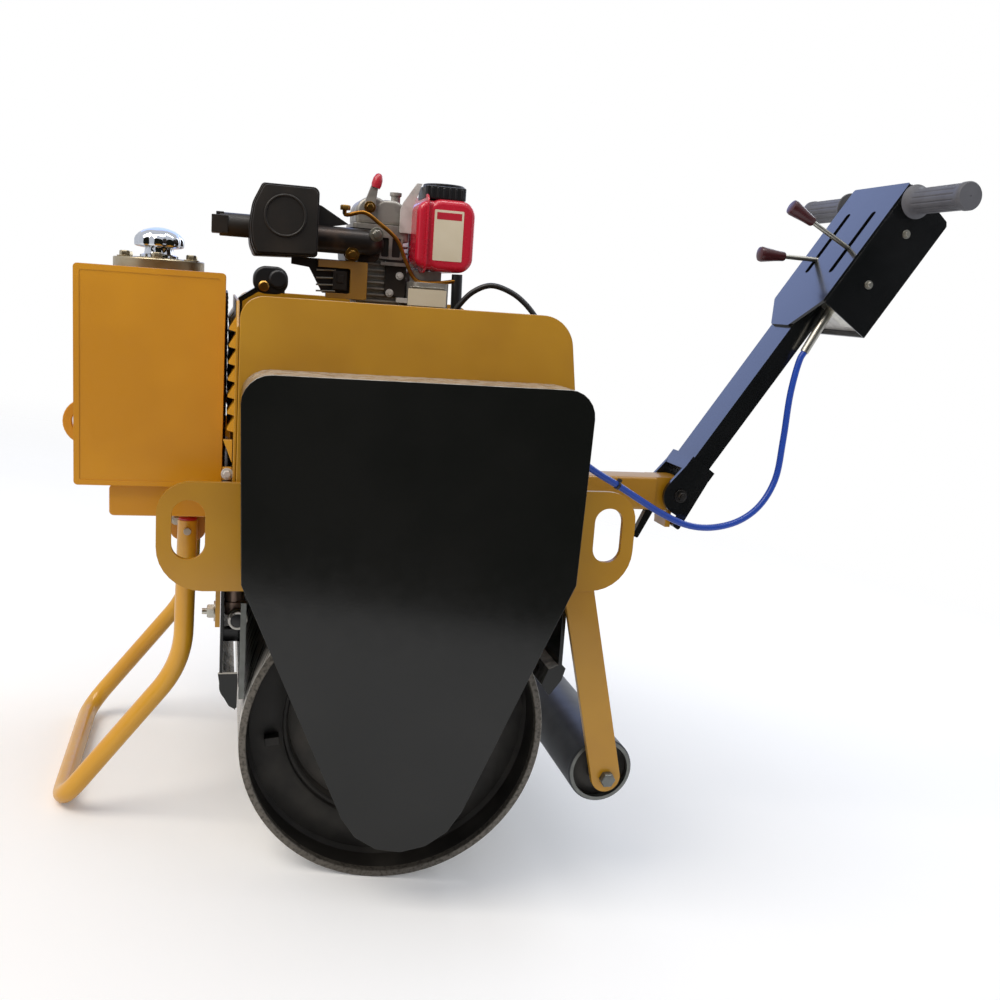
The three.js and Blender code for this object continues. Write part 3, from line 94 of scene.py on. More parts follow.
# %% Flat outlines
def outline(corners, step=6):
    """The points round a shape whose corners (a, b) or (a, b, radius) may be rounded."""
    points = []
    for i, corner in enumerate(corners):
        here = Vector(corner[:2])
        radius = corner[2] if len(corner) > 2 else 0
        if not radius:
            points.append(tuple(here))
            continue
        to_last = (Vector(corners[i - 1][:2]) - here).normalized()
        to_next = (Vector(corners[(i + 1) % len(corners)][:2]) - here).normalized()
        half = to_last.angle(to_next) / 2
        centre = here + (to_last + to_next).normalized() * radius / math.sin(half)
        start = here + to_last * radius / math.tan(half) - centre
        turn = math.pi - 2 * half
        if to_last.cross(to_next) > 0:
            turn = -turn
        count = max(2, round(abs(math.degrees(turn)) / step))
        for k in range(count + 1):
            points.append(tuple(centre + Matrix.Rotation(turn * k / count, 2) @ start))
    return points


def rectangle(a0, a1, b0, b1, radius=0):
    return outline([(a0, b0, radius), (a1, b0, radius), (a1, b1, radius), (a0, b1, radius)])


def circle(a, b, radius, sides=40):
    turns = [math.tau * k / sides for k in range(sides)]
    return [(a + radius * math.cos(t), b + radius * math.sin(t)) for t in turns]


# %% Sheets, turned parts, tubes
STOOD = {  # a flat point (a, b) at a distance t along each axis
    "x": lambda a, b, t: Vector((t, a, b)),
    "y": lambda a, b, t: Vector((a, t, b)),
    "z": lambda a, b, t: Vector((a, b, t)),
}


def slab(outer, low, high, across="y", holes=()):
    """Pushes an outline, with any holes, from low to high along an axis."""
    loops = [list(outer), *[list(hole) for hole in holes]]
    flat = [point for loop in loops for point in loop]
    count = len(flat)
    points = [STOOD[across](a, b, t) for t in (low, high) for a, b in flat]
    caps = tessellate_polygon([[Vector((a, b, 0)) for a, b in loop] for loop in loops])
    faces = [tuple(cap) for cap in caps] + [tuple(i + count for i in cap) for cap in caps]
    start = 0
    for loop in loops:
        size = len(loop)
        for i in range(size):
            j = (i + 1) % size
            faces.append((start + i, start + j, start + j + count, start + i + count))
        start += size
    return points, faces


def box(x, y, z):
    return slab(rectangle(*x, *y), *z, across="z")


def turned(profile, along="y", sides=64, at=(0, 0, 0), swell=None):
    """Turns (radius, height) points round an axis. swell(angle, height) scales the radius."""
    size = len(profile)
    closed = profile[0][0] > 0
    points = []
    for k in range(sides):
        angle = math.tau * k / sides
        for radius, height in profile:
            wide = radius * (swell(angle, height) if swell else 1)
            flat = wide * math.cos(angle), wide * math.sin(angle)
            points.append(STOOD[along](*flat, height) + Vector(at))
    faces = []
    for k in range(sides):
        for i in range(size if closed else size - 1):
            j = (i + 1) % size
            here, there = k * size, (k + 1) % sides * size
            faces.append((here + i, here + j, there + j, there + i))
    return points, faces


def tube(path, radius, sides=20):
    """A solid round bar along points, whose section doesn't twist."""
    path = [Vector(point) for point in path]
    points = []
    normal = (path[1] - path[0]).orthogonal()
    for i, here in enumerate(path):
        ahead = (path[min(i + 1, len(path) - 1)] - path[max(i - 1, 0)]).normalized()
        normal = (normal - ahead * normal.dot(ahead)).normalized()
        side = ahead.cross(normal)
        for k in range(sides):
            angle = math.tau * k / sides
            points.append(here + radius * (math.cos(angle) * normal + math.sin(angle) * side))
    faces = []
    for i in range(len(path) - 1):
        for k in range(sides):
            j = (k + 1) % sides
            faces.append((i * sides + k, i * sides + j, (i + 1) * sides + j, (i + 1) * sides + k))
    last = len(points) - sides
    return points, [*faces, tuple(reversed(range(sides))), tuple(range(last, len(points)))]


def bent(points, bend, steps=8):
    """Points along straight runs whose corners are rounded over `bend` on each side."""
    points = [Vector(point) for point in points]
    path = [points[0]]
    for before, corner, after in zip(points, points[1:], points[2:]):
        into = corner + (before - corner).normalized() * bend
        out = corner + (after - corner).normalized() * bend
        for k in range(steps + 1):
            t = k / steps
            path.append((1 - t) ** 2 * into + 2 * t * (1 - t) * corner + t * t * out)
    return [*path, points[-1]]


# %% Bolts, and putting shapes together
def gather(*shapes):
    """Several shapes as one."""
    points, faces = [], []
    for more_points, more_faces in shapes:
        start = len(points)
        points += more_points
        faces += [tuple(i + start for i in face) for face in more_faces]
    return points, faces


def moved(shape, matrix):
    return [matrix @ Vector(point) for point in shape[0]], shape[1]


def facing(at, towards):
    """Stands a shape that was drawn along +Z at a place, facing another way."""
    turn = Vector((0, 0, 1)).rotation_difference(Vector(towards))
    return Matrix.Translation(at) @ turn.to_matrix().to_4x4()


WASHER = 1.6  # mm thick


def bolt(at, towards, flats=16, washer=True):
    """A hexagon bolt head on its washer; `flats` is the spanner size in mm."""
    corner = flats / math.sqrt(3)
    base = WASHER if washer else 0
    top = base + flats * 0.55
    edge = base + flats * 0.55 * 0.8  # where the chamfer at the corners starts
    shapes = [turned([(0, base), (corner, base), (corner, edge), (corner * 0.86, top), (0, top)], "z", 6)]
    if washer:
        shapes.append(turned([(0, 0), (flats * 0.85, 0), (flats * 0.85, WASHER), (0, WASHER)], "z", 24))
    return moved(gather(*shapes), facing(at, towards))


# %% [markdown]
# ## From shapes to pieces
# A piece is one mesh that rides on one body. Flat faces that lie in one plane are
# joined first, so that the bevel sees only real edges. The bevel matters more than
# anything else here: a pressed or sawn edge on a machine is never sharp, and it is
# the narrow rounded edge that catches the light.


# %% Making and carrying pieces
def soften(made, edge, angle=35, segments=2):
    """Rounds a piece's edges by `edge` mm and shades what is left smooth."""
    mesh = made.data
    mesh.polygons.foreach_set("use_smooth", [True] * len(mesh.polygons))
    mesh.set_sharp_from_angle(angle=math.radians(angle))
    if edge:
        bevel = made.modifiers.new("worn edge", "BEVEL")
        bevel.width = edge * MM
        bevel.segments = segments
        bevel.limit_method = "ANGLE"
        bevel.angle_limit = math.radians(angle)
        bevel.harden_normals = True


def piece(name, shape, finish, body="chassis", place=CHASSIS, edge=0.8, stands_for=(), segments=2):
    """Makes a mesh from a shape in a working frame, and lets it ride on a body if one is given."""
    points, faces = shape
    work = bmesh.new()
    corners = [work.verts.new(place @ Vector(point)) for point in points]
    for face in faces:
        work.faces.new([corners[i] for i in face])
    bmesh.ops.remove_doubles(work, verts=work.verts, dist=1e-6)
    bmesh.ops.recalc_face_normals(work, faces=work.faces)
    bmesh.ops.dissolve_limit(work, angle_limit=math.radians(0.2), verts=work.verts, edges=work.edges)
    mesh = bpy.data.meshes.new(name)
    work.to_mesh(mesh)
    work.free()
    mesh.materials.append(finish)
    made = bpy.data.objects.new(name, mesh)
    bpy.context.scene.collection.objects.link(made)
    soften(made, edge, segments=segments)
    if body:
        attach(made, body)
    if stands_for:
        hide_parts(*stands_for)
    print(f"{name}: {len(mesh.polygons)} faces, {finish.name}")
    return made


def carry(node, finish, edge=0.8, segments=2):
    """Keeps a CAD node's own shape, and gives it worn edges and a material."""
    made = frame["nodes"][node]
    made.data.materials.clear()
    made.data.materials.append(finish)
    flat_normals = made.data.attributes.get("custom_normal")
    if flat_normals:
        made.data.attributes.remove(flat_normals)
    weld = made.modifiers.new("weld", "WELD")
    weld.merge_threshold = 1e-5
    whole = made.modifiers.new("whole flat faces", "DECIMATE")
    whole.decimate_type = "DISSOLVE"
    whole.angle_limit = math.radians(0.3)
    soften(made, edge, segments=segments)
    print(f"{node}: the CAD shape, {finish.name}")
    return made


# %% [markdown]
# ## Materials
# Every finish starts from the real one: what it is, and how its surface was made.
# One function adds a node, sets its values and joins its links, and that is all
# the machinery that the materials need. Patterns are placed by object coordinates,
# in metres, so the scale of each can be worked out from a size in millimetres.


# %% Colours and nodes
def hexa(code):
    """An sRGB colour such as "#c9871c" as the linear values that the shader wants."""
    parts = [int(code[i : i + 2], 16) / 255 for i in (1, 3, 5)]
    linear = [v / 12.92 if v <= 0.04045 else ((v + 0.055) / 1.055) ** 2.4 for v in parts]
    return (*linear, 1)


def join(tree, node, inputs):
    """Fills a node's inputs, each from a value, another node's output or its first output."""
    for socket, value in inputs.items():
        if isinstance(value, bpy.types.Node):
            value = value.outputs[0]
        if isinstance(value, bpy.types.NodeSocket):
            tree.links.new(value, node.inputs[socket])
        else:
            node.inputs[socket].default_value = value


def add(tree, kind, inputs=None, **settings):
    """Adds a shader node with its settings and links."""
    node = tree.nodes.new("ShaderNode" + kind)
    for name, value in settings.items():
        setattr(node, name, value)
    join(tree, node, inputs or {})
    return node


def per_mm(size):
    """The texture scale that makes a feature about `size` mm wide."""
    return 1000 / size


def begin(name):
    """An empty material with its shader and the coordinates for its patterns."""
    made = bpy.data.materials.new(name)
    made.use_nodes = True
    tree = made.node_tree
    tree.nodes.clear()
    shader = add(tree, "BsdfPrincipled")
    add(tree, "OutputMaterial", {"Surface": shader})
    where = add(tree, "TexCoord").outputs["Object"]
    return made, tree, shader, where


def mixed(tree, share, a, b):
    """A colour between a and b."""
    return add(tree, "Mix", {0: share, 6: a, 7: b}, data_type="RGBA").outputs[2]


# %% [markdown]
# ### Sprayed enamel on sheet steel
# Machine paint is alkyd enamel, sprayed thick and left to flow. What the eye gets
# is a strong colour, a clear gloss that is never quite flat, because the droplets
# leave an orange peel some 4 mm across, and a little dust where the sheet faces up.


# %% Enamel
def enamel(
    name, colour, shade, gloss, peel=0.25, dust=0.12, film="#b8a88c", coat=0.35, ior=1.5, bare=0.25
):
    """`film` is the colour of the dust, which on the black covers also paints a sky sheen, `dust` its greatest
    share, and a lower `bare` lets it lie evenly.
    """
    made, tree, shader, where = begin(name)
    cloud = add(tree, "TexNoise", {"Vector": where, "Scale": per_mm(160), "Detail": 3.0})
    drift = add(tree, "MapRange", {"Value": cloud, 1: 0.35, 2: 0.65})
    base = mixed(tree, drift, hexa(colour), hexa(shade))
    up = add(tree, "NewGeometry").outputs["Normal"]
    height = add(tree, "SeparateXYZ", {"Vector": up}).outputs["Z"]
    grit = add(tree, "TexNoise", {"Vector": where, "Scale": per_mm(14), "Detail": 6.0})
    # Faces that look up take the film: dust, and on the black covers also a painted sheen.
    dust_and_sheen_mask = add(tree, "Math", {0: height, 1: grit}, operation="MULTIPLY")
    dust_and_sheen_spread = {"Value": dust_and_sheen_mask, 1: bare, 2: bare + 0.5, 3: 0.0, 4: dust}
    amount = add(tree, "MapRange", dust_and_sheen_spread)
    rough = add(tree, "MapRange", {"Value": grit, 3: gloss, 4: gloss + 0.1})
    peels = add(tree, "TexNoise", {"Vector": where, "Scale": per_mm(4), "Detail": 1.0})
    bump = add(tree, "Bump", {"Height": peels, "Strength": peel, "Distance": 0.0002})
    tone = mixed(tree, amount, base, hexa(film))
    join(tree, shader, {"Base Color": tone, "Roughness": rough, "Normal": bump})
    join(tree, shader, {"IOR": ior, "Coat Weight": coat, "Coat Roughness": 0.12})
    return made


# One yellow enamel in three copies, with light and shade painted in: the first is darkened for the side panels'
# shade, the second is deeper orange for the painted bounce light on the tank, and the third is paler for the
# painted front light on the stand.
yellow = enamel("chrome yellow enamel darkened for painted shade", "#b4820e", "#a67409", 0.3, dust=0.05)
bounce_lit_yellow = enamel("yellow enamel painted orange for bounce light", "#cb8a04", "#bf7f02", 0.3, dust=0.02)
front_lit_yellow = enamel("yellow enamel painted paler for front light", "#d49c20", "#c88e18", 0.28, dust=0.25)
black = enamel("gloss black enamel", "#0d0f10", "#151617", 0.16, peel=0.12, dust=0.03)
red = enamel("signal red enamel", "#c81430", "#b80f28", 0.22, dust=0.03)
ochre = enamel("yellow chromate on pressed steel", "#c08a1e", "#94661a", 0.38, dust=0.05)
# The pale film on this black is partly road dust and partly a painted highlight: it stands for the sky's sheen
# on faces that look up.
black_dust_and_sheen = enamel(
    "black enamel with dust and a painted sky sheen", "#131412", "#191917",
    gloss=0.09, peel=0.08, dust=0.95, film="#cfcbc2", coat=0.02, ior=1.42, bare=0.05,
)
print("enamels:", [made.name for made in (yellow, bounce_lit_yellow, front_lit_yellow, black, black_dust_and_sheen, red, ochre)])

# %% [markdown]
# ### Rolled mild steel
# The drum's skin is bare plate, rolled and welded. The ground polishes it, and it
# keeps slanting dark streaks of rust and oil that the scraper draws out. The
# streaks need a coordinate that runs round the drum, so the angle about the axle
# is worked out from the object's own X and Z.

# %% Drum skin
DRUM_AT = joint_at["drum_spin"]
bare_steel, tree, shader, where = begin("rolled mild steel")
parts = add(tree, "SeparateXYZ", {"Vector": where})
dx = add(tree, "Math", {0: parts.outputs["X"], 1: DRUM_AT.x}, operation="SUBTRACT")
dz = add(tree, "Math", {0: parts.outputs["Z"], 1: DRUM_AT.z}, operation="SUBTRACT")
angle = add(tree, "Math", {0: dz, 1: dx}, operation="ARCTAN2")
around = add(tree, "Math", {0: angle, 1: DRUM_R * MM}, operation="MULTIPLY")
sideways = {0: parts.outputs["Y"], 1: 0.8, 2: around}
slant = add(tree, "Math", sideways, operation="MULTIPLY_ADD")
unrolled = add(tree, "CombineXYZ", {"X": slant, "Y": parts.outputs["Y"], "Z": 0.0})
drawn = add(tree, "Mapping", {"Vector": unrolled, "Scale": (1, 0.12, 1)})
streaks = add(tree, "TexNoise", {"Vector": drawn, "Scale": per_mm(9), "Detail": 4.0, "Roughness": 0.6})
strong = add(tree, "MapRange", {"Value": streaks, 1: 0.52, 2: 0.6})
steel = mixed(tree, strong, hexa("#c4c2bb"), hexa("#3b3833"))
stains = add(tree, "TexNoise", {"Vector": where, "Scale": per_mm(60), "Detail": 4.0})
patch = add(tree, "MapRange", {"Value": stains, 1: 0.5, 2: 0.8, 4: 0.6})
matt = add(tree, "MapRange", {"Value": strong, 3: 0.3, 4: 0.6})
scratch = add(tree, "Mapping", {"Vector": unrolled, "Scale": (1, 0.05, 1)})
lines = add(tree, "TexNoise", {"Vector": scratch, "Scale": per_mm(1.5), "Detail": 2.0})
bump = add(tree, "Bump", {"Height": lines, "Strength": 0.3, "Distance": 0.0002})
tone = mixed(tree, patch, steel, hexa("#75685a"))
join(tree, shader, {"Base Color": tone, "Roughness": matt, "Normal": bump, "Metallic": 0.35})
print("made", bare_steel.name)

# %% [markdown]
# ### Mill scale
# Steel that nobody polished keeps the blue-black scale of the hot rolling mill,
# here under a film of oil and dust. It is dark and patchy, with no clear gloss.


# %% Scaled and stained steels
def raw_metal(name, colour, stain, metallic, rough, grain=30, depth=0.0003, spots=0.45):
    """Metal as it left the mill or the mould: a tone, a stain and a fine grain."""
    made, tree, shader, where = begin(name)
    cloud = add(tree, "TexNoise", {"Vector": where, "Scale": per_mm(grain), "Detail": 6.0})
    amount = add(tree, "MapRange", {"Value": cloud, 1: spots, 2: spots + 0.25})
    tone = mixed(tree, amount, hexa(colour), hexa(stain))
    sheen = add(tree, "MapRange", {"Value": cloud, 3: rough - 0.08, 4: rough + 0.12})
    pits = add(tree, "TexNoise", {"Vector": where, "Scale": per_mm(2.2), "Detail": 3.0})
    bump = add(tree, "Bump", {"Height": pits, "Strength": 0.35, "Distance": depth})
    join(tree, shader, {"Base Color": tone, "Roughness": sheen, "Normal": bump, "Metallic": metallic})
    return made


mill_scale = raw_metal("mill scale on plate", "#24221f", "#3b3833", 0.35, 0.5, grain=70)
# A lighter copy of the mill scale for the drum's dishes: painted light, where light falls into the drum.
lit_mill_scale = raw_metal("mill scale painted lighter for light in the drum", "#403d38", "#56514a", 0.2, 0.6, grain=50)
worn_steel = raw_metal("worn steel edge", "#67625a", "#34302a", 0.5, 0.36, grain=5)
pipe_steel = raw_metal("drawn steel pipe", "#7d6a5e", "#453a35", 0.7, 0.34, grain=26)
roller_steel = raw_metal("grey primer on tube", "#3a3c40", "#303236", 0.1, 0.42, grain=50)
cast = raw_metal("die-cast aluminium", "#a9a59c", "#86807a", 0.6, 0.45, grain=24)
iron = raw_metal("oiled cast iron", "#2a2522", "#4a382a", 0.5, 0.34, grain=24)
hot_steel = raw_metal(
    "heat-proof silicone paint", "#211d19", "#2c241b", 0.0, 0.46, grain=60, depth=0.0002
)
raw = (mill_scale, lit_mill_scale, worn_steel, pipe_steel, roller_steel, cast, iron, hot_steel)
print("raw metals:", [made.name for made in raw])

# %% [markdown]
# ### Bright zinc, chromium, brass and copper
# The bolts, the filler flange and the bar are electroplated with zinc, which is
# bright but a little cloudy. The filler cap is chromium plate, a near mirror.


# %% Plated and plain bright metals
def bright(name, colour, rough, cloud_mm=9, depth=0.00005):
    made, tree, shader, where = begin(name)
    haze = add(tree, "TexNoise", {"Vector": where, "Scale": per_mm(cloud_mm), "Detail": 4.0})
    sheen = add(tree, "MapRange", {"Value": haze, 3: rough * 0.7, 4: rough * 1.5})
    dull = [v * 0.8 for v in hexa(colour)[:3]]
    tone = mixed(tree, haze, hexa(colour), (*dull, 1))
    bump = add(tree, "Bump", {"Height": haze, "Strength": 0.2, "Distance": depth})
    join(tree, shader, {"Base Color": tone, "Roughness": sheen, "Normal": bump, "Metallic": 1})
    return made


zinc = bright("bright zinc plate", "#cbc8bc", 0.36)
chromium = bright("chromium plate", "#dfe2e6", 0.07)
pale_zinc = raw_metal("dull galvanised sheet", "#cfcbc4", "#b4b0a8", 0.15, 0.5, grain=20)
grey_steel = bright("plain turned steel", "#80827e", 0.4)
filler_zinc = bright("yellow-passivated zinc", "#bdb093", 0.34)
dark_zinc = bright("oiled black oxide", "#4a4846", 0.4)
brass = bright("turned brass", "#b58a45", 0.3)
copper = bright("annealed copper pipe", "#a9742e", 0.33)
plated = (zinc, chromium, pale_zinc, grey_steel, filler_zinc, dark_zinc, brass, copper)
print("bright metals:", [made.name for made in plated])

# %% [markdown]
# ### Plastics and rubber
# The grips are moulded rubber, grey with wear and quite matt. Knobs, sleeves and
# caps are moulded plastics: they have no grain, only the fine texture of the mould.


# %% Mouldings
def moulded(name, colour, shade, rough, texture_mm=1.6, coat=0.0):
    made, tree, shader, where = begin(name)
    cloud = add(tree, "TexNoise", {"Vector": where, "Scale": per_mm(30), "Detail": 4.0})
    tone = mixed(tree, cloud, hexa(colour), hexa(shade))
    grain = add(tree, "TexNoise", {"Vector": where, "Scale": per_mm(texture_mm), "Detail": 2.0})
    bump = add(tree, "Bump", {"Height": grain, "Strength": 0.25, "Distance": 0.0001})
    sheen = add(tree, "MapRange", {"Value": cloud, 3: rough, 4: rough + 0.12})
    join(tree, shader, {"Base Color": tone, "Roughness": sheen, "Normal": bump})
    join(tree, shader, {"IOR": 1.5, "Coat Weight": coat})
    return made


rubber = moulded("moulded nitrile rubber", "#626266", "#4c4c50", 0.55)
black_plastic = moulded("moulded black ABS", "#131314", "#1e1e20", 0.35)
blue_sleeve = moulded("blue PVC sleeve", "#1848ae", "#123a96", 0.28)
maroon = moulded("phenolic knob", "#4a1216", "#370c10", 0.34, coat=0.15)
red_knob = moulded("red dipped vinyl", "#c4122c", "#a80f24", 0.3, coat=0.3)
paper = moulded("blank paper label", "#d9cdb2", "#cbbd9f", 0.5)
print("mouldings:", [made.name for made in (rubber, black_plastic, blue_sleeve, maroon, red_knob, paper)])

# %% [markdown]
# ## Camera
# The camera stands at chest height to the roller's left and a little ahead of it,
# and looks slightly down. Its three directions are set as one rotation.

# %% Camera
camera = bpy.data.objects.new("camera", bpy.data.cameras.new("camera"))
bpy.context.scene.collection.objects.link(camera)
camera.data.sensor_width = 36
camera.data.lens = 38.23
camera.data.clip_start = 0.05
right = Vector((-0.9462, 0.2463, 0.2097)).normalized()
forward = Vector((-0.2797, -0.9488, -0.1471))
forward = (forward - right * forward.dot(right)).normalized()
up = right.cross(forward)
turn = Matrix((right, up, -forward)).transposed().to_4x4()
camera.matrix_world = Matrix.Translation((0.4685, 1.6724, 0.7791)) @ turn
bpy.context.scene.camera = camera
print("camera stands", round(camera.location.z, 2), "m above the floor")

# %% [markdown]
# ## Cables
# Two push-pull cables leave the engine bay. The blue one drives the travel lever:
# it leaves a gland in the rear panel, hangs in one long loop under the handle's
# pivot and climbs to the control box, so the real cable bends when the handle is lifted; here it is one fixed
# tube that rides on no body.
# The black one arches over the engine and goes down inside the panel.


# %% A smooth line through given points
def through(points, steps=6):
    """A Catmull-Rom line, spaced by the root of each gap, so that it never loops."""
    points = [Vector(point) for point in points]
    points = [2 * points[0] - points[1], *points, 2 * points[-1] - points[-2]]
    line = []
    for a, b, c, d in zip(points, points[1:], points[2:], points[3:]):
        gaps = [max((q - p).length, 1e-6) ** 0.5 for p, q in ((a, b), (b, c), (c, d))]
        leave = ((b - a) / gaps[0] - (c - a) / (gaps[0] + gaps[1]) + (c - b) / gaps[1]) * gaps[1]
        arrive = ((c - b) / gaps[1] - (d - b) / (gaps[1] + gaps[2]) + (d - c) / gaps[2]) * gaps[1]
        for k in range(steps):
            t = k / steps
            line.append(
                (2 * t**3 - 3 * t**2 + 1) * b
                + (t**3 - 2 * t**2 + t) * leave
                + (3 * t**2 - 2 * t**3) * c
                + (t**3 - t**2) * arrive
            )
    return [*line, points[-2]]


def length_of(path):
    return sum((q - p).length for p, q in zip(path, path[1:]))


# %% The blue control cable
GLAND = (-242.6, 110, 603)
CONTROL_ROUTE = [
    (GLAND[0] - 0.6, GLAND[1], GLAND[2]), (GLAND[0] - 14, GLAND[1], GLAND[2] - 1),
    (-292, 107, 586), (-336, 100, 560), (-380, 92, 537), (-419, 86, 515), (-468, 80, 489),
    (-517, 76, 471), (-566, 70, 468), (-613, 66, 480), (-649, 62, 506), (-674, 58, 550),
    (-682, 55, 619), (-687, 52, 700), (-698.4, 50, 757.4), (-704, 50, 768),
]
control_line = [CHASSIS @ point for point in through(CONTROL_ROUTE)]
CONTROL_WIDE = 0.011
control_cable = piece(
    "blue_control_cable", tube(control_line, CONTROL_WIDE / 2, 16), blue_sleeve,
    body=None, place=Matrix.Identity(4), edge=0, stands_for=["control_cable"],
)
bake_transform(control_cable)
print("blue cable:", round(length_of(control_line), 3), "m long")

# %% The black throttle cable
THROTTLE_ROUTE = [
    (-62, 119.3, 760), (-76, 132, 788), (-88, 140, 809), (-104, 146, 827), (-128, 154, 838),
    (-157, 164, 830), (-179, 174, 813), (-196, 184, 789), (-206, 188, 762),
]
throttle_line = [CHASSIS @ point for point in through(THROTTLE_ROUTE)]
THROTTLE_WIDE = 0.008
throttle_cable = piece(
    "black_throttle_cable", tube(throttle_line, THROTTLE_WIDE / 2, 16), black_plastic,
    place=Matrix.Identity(4), edge=0, stands_for=["throttle_cable"],
)
print("black cable:", round(length_of(throttle_line), 3), "m long")

# %% [markdown]
# ## Frame and body
# The deck, its rails, the side plates and the legs are thick plate, gas-cut and
# welded; the body panels are lighter sheet. The CAD shapes already are those
# plates, so they stay, and only get worn edges and paint.

# %% Plates
for node in ("main_frame", "front_panel", "handle_beam"):
    carry(node, yellow, edge=1.3)
for side in ("left", "right"):
    carry(side + "_side_plate", yellow, edge=1.3)
    carry(side + "_roller_leg", yellow, edge=1.3)
    carry(side + "_drum_cover", black_dust_and_sheen, edge=2.2, segments=3)
for node in ("front_crossbeam", "lifting_eye"):
    carry(node, bounce_lit_yellow, edge=1.6)
for node in ("front_scraper", "rear_scraper", "latch_lever"):
    carry(node, black_dust_and_sheen, edge=0.6)


# %% Both sides at once
def both(shape):
    """A shape on the left, and its mirror image on the right."""
    points, faces = shape
    return gather(shape, ([Vector((x, -y, z)) for x, y, z in points], faces))


# %% [markdown]
# The side panels lean in towards the handle over their upper half, and the rear
# panel leans with them.

# %% Body panels
PANEL_FOOT = 478
PANEL_TOP = 803
leaning = outline(
    [(-224, PANEL_FOOT), (-224, 664), (-205, PANEL_TOP, 44), (224, PANEL_TOP, 30), (224, PANEL_FOOT)]
)
panels = both(slab(leaning, 298, 306))
piece("body_panels", panels, yellow, edge=1.3, stands_for=["left_body_panel", "right_body_panel"])
back_wall = outline(
    [(-228.3, PANEL_FOOT), (-228.3, 640), (-211, 762), (-207, 762), (-224.3, 640), (-224.3, PANEL_FOOT)]
)
piece("rear_wall", slab(back_wall, -297.5, 297.5), yellow, stands_for=["rear_panel"])

# %% [markdown]
# The narrow gap behind the tank is dark, with thin flat strips across it, as in a
# cooler. Boxes 3 mm high at a pitch of 6 mm give that rhythm at little cost.

# %% Oil cooler and the gap behind the tank
COOLER_PITCH = 6
cooler = gather(*[box((237.9, 240.9), (-205, 205), (low, low + 3)) for low in range(566, 800, COOLER_PITCH)])
cooler_core = box((238.4, 240.4), (-200, 200), (562, 802))
piece("oil_cooler", gather(cooler, cooler_core), hot_steel, edge=0)
piece("tank_spacers", both(bolt((235, 278, 574), (0, 1, 0), 9)), pale_zinc, edge=0.4)
brace = slab(outline([(229.4, 588), (240.8, 618), (229.4, 618)]), 270, 280)
spacer = gather(box((229.4, 240.8), (270, 278), (566, 582)), brace)
piece("tank_brackets", both(spacer), front_lit_yellow, edge=0.4)

# %% [markdown]
# The front panel is louvred, so that air reaches the engine through it. A louvre
# is slit along its lower edge and pressed outwards above it, which leaves a hood
# 9 mm deep, so each is one wedge pushed across the panel.

# %% Louvres
PANEL_FACE = 228.3
LOUVRE_PITCH = 21.4
LOUVRE_DEEP = 9
hoods = []
for row in range(7):
    low = 628 + LOUVRE_PITCH * row
    hood = outline(
        [(PANEL_FACE - 1, low + 19), (PANEL_FACE + LOUVRE_DEEP, low + 1.5, 1.5), (PANEL_FACE - 1, low - 1)]
    )
    hoods += [slab(hood, 25, 270), slab(hood, -270, -25)]
piece("louvres", gather(*hoods), front_lit_yellow, edge=0.3)

# %% [markdown]
# ## Drum
# The drum is a rolled and welded shell with a dished disc set deep inside each
# end. The ground keeps the shell's outer face bright; the discs keep their mill
# scale, under spattered oil. Each is a profile turned round the axle, as on a lathe.

# %% Drum
DRUM_HALF = 300
RIM_INSIDE = DRUM_R - 10
SHELL_INSIDE = DRUM_R - 4
SHELL_END = DRUM_HALF - 2
profile = [(DRUM_R, -SHELL_END), (DRUM_R, SHELL_END), (SHELL_INSIDE, SHELL_END), (SHELL_INSIDE, -SHELL_END)]
skin = turned(profile, sides=180, at=AXLE)
piece("drum_skin", skin, bare_steel, "drum", edge=0, stands_for=["drum"])
profile = [
    (DRUM_R - 0.2, DRUM_HALF - 2.2), (DRUM_R - 0.6, DRUM_HALF - 1), (DRUM_R - 2.5, DRUM_HALF),
    (RIM_INSIDE + 1, DRUM_HALF), (RIM_INSIDE, DRUM_HALF - 1), (RIM_INSIDE, 288), (SHELL_INSIDE, 288),
]
lip = turned(profile, sides=180, at=AXLE)
piece("drum_lips", both(lip), worn_steel, "drum", edge=0)
profile = [(DRUM_R - 3.9, 289), (RIM_INSIDE - 0.2, 289), (RIM_INSIDE - 0.2, 236), (DRUM_R - 3.9, 236)]
lining = turned(profile, sides=180, at=AXLE)
profile = [(RIM_INSIDE, 245), (156, 245), (151, 242), (149, 232), (143, 232), (146, 235), (RIM_INSIDE, 235)]
disc = turned(profile, sides=96, at=AXLE)
weld = turned([(RIM_INSIDE + 0.5, 252), (RIM_INSIDE - 6, 245), (RIM_INSIDE + 0.5, 244)], sides=96, at=AXLE)
lugs = []
for k in range(4):
    spin = Matrix.Translation(AXLE) @ Matrix.Rotation(math.radians(6 + 90 * k), 4, "Y")
    lugs.append(moved(box((157, 177), (244, 262), (-6, 6)), spin))
piece("drum_ends", both(gather(lining, disc, weld, *lugs)), mill_scale, "drum")
profile = [
    (149.5, 233), (147, 219), (142, 215), (48, 215), (48, 258), (46, 260),
    (25.6, 260), (25.6, 205), (137, 205), (141, 209), (143.5, 232),
]
dish = turned(profile, sides=96, at=AXLE)
# The dishes take the lighter copy of the mill scale: painted light.
piece("drum_dishes", both(dish), lit_mill_scale, "drum")

# %% [markdown]
# ## Guide roller
# A slim tube behind the drum keeps the machine from tipping back. It turns on a
# long bolt between the two legs, so it is made of turned profiles round that bolt.

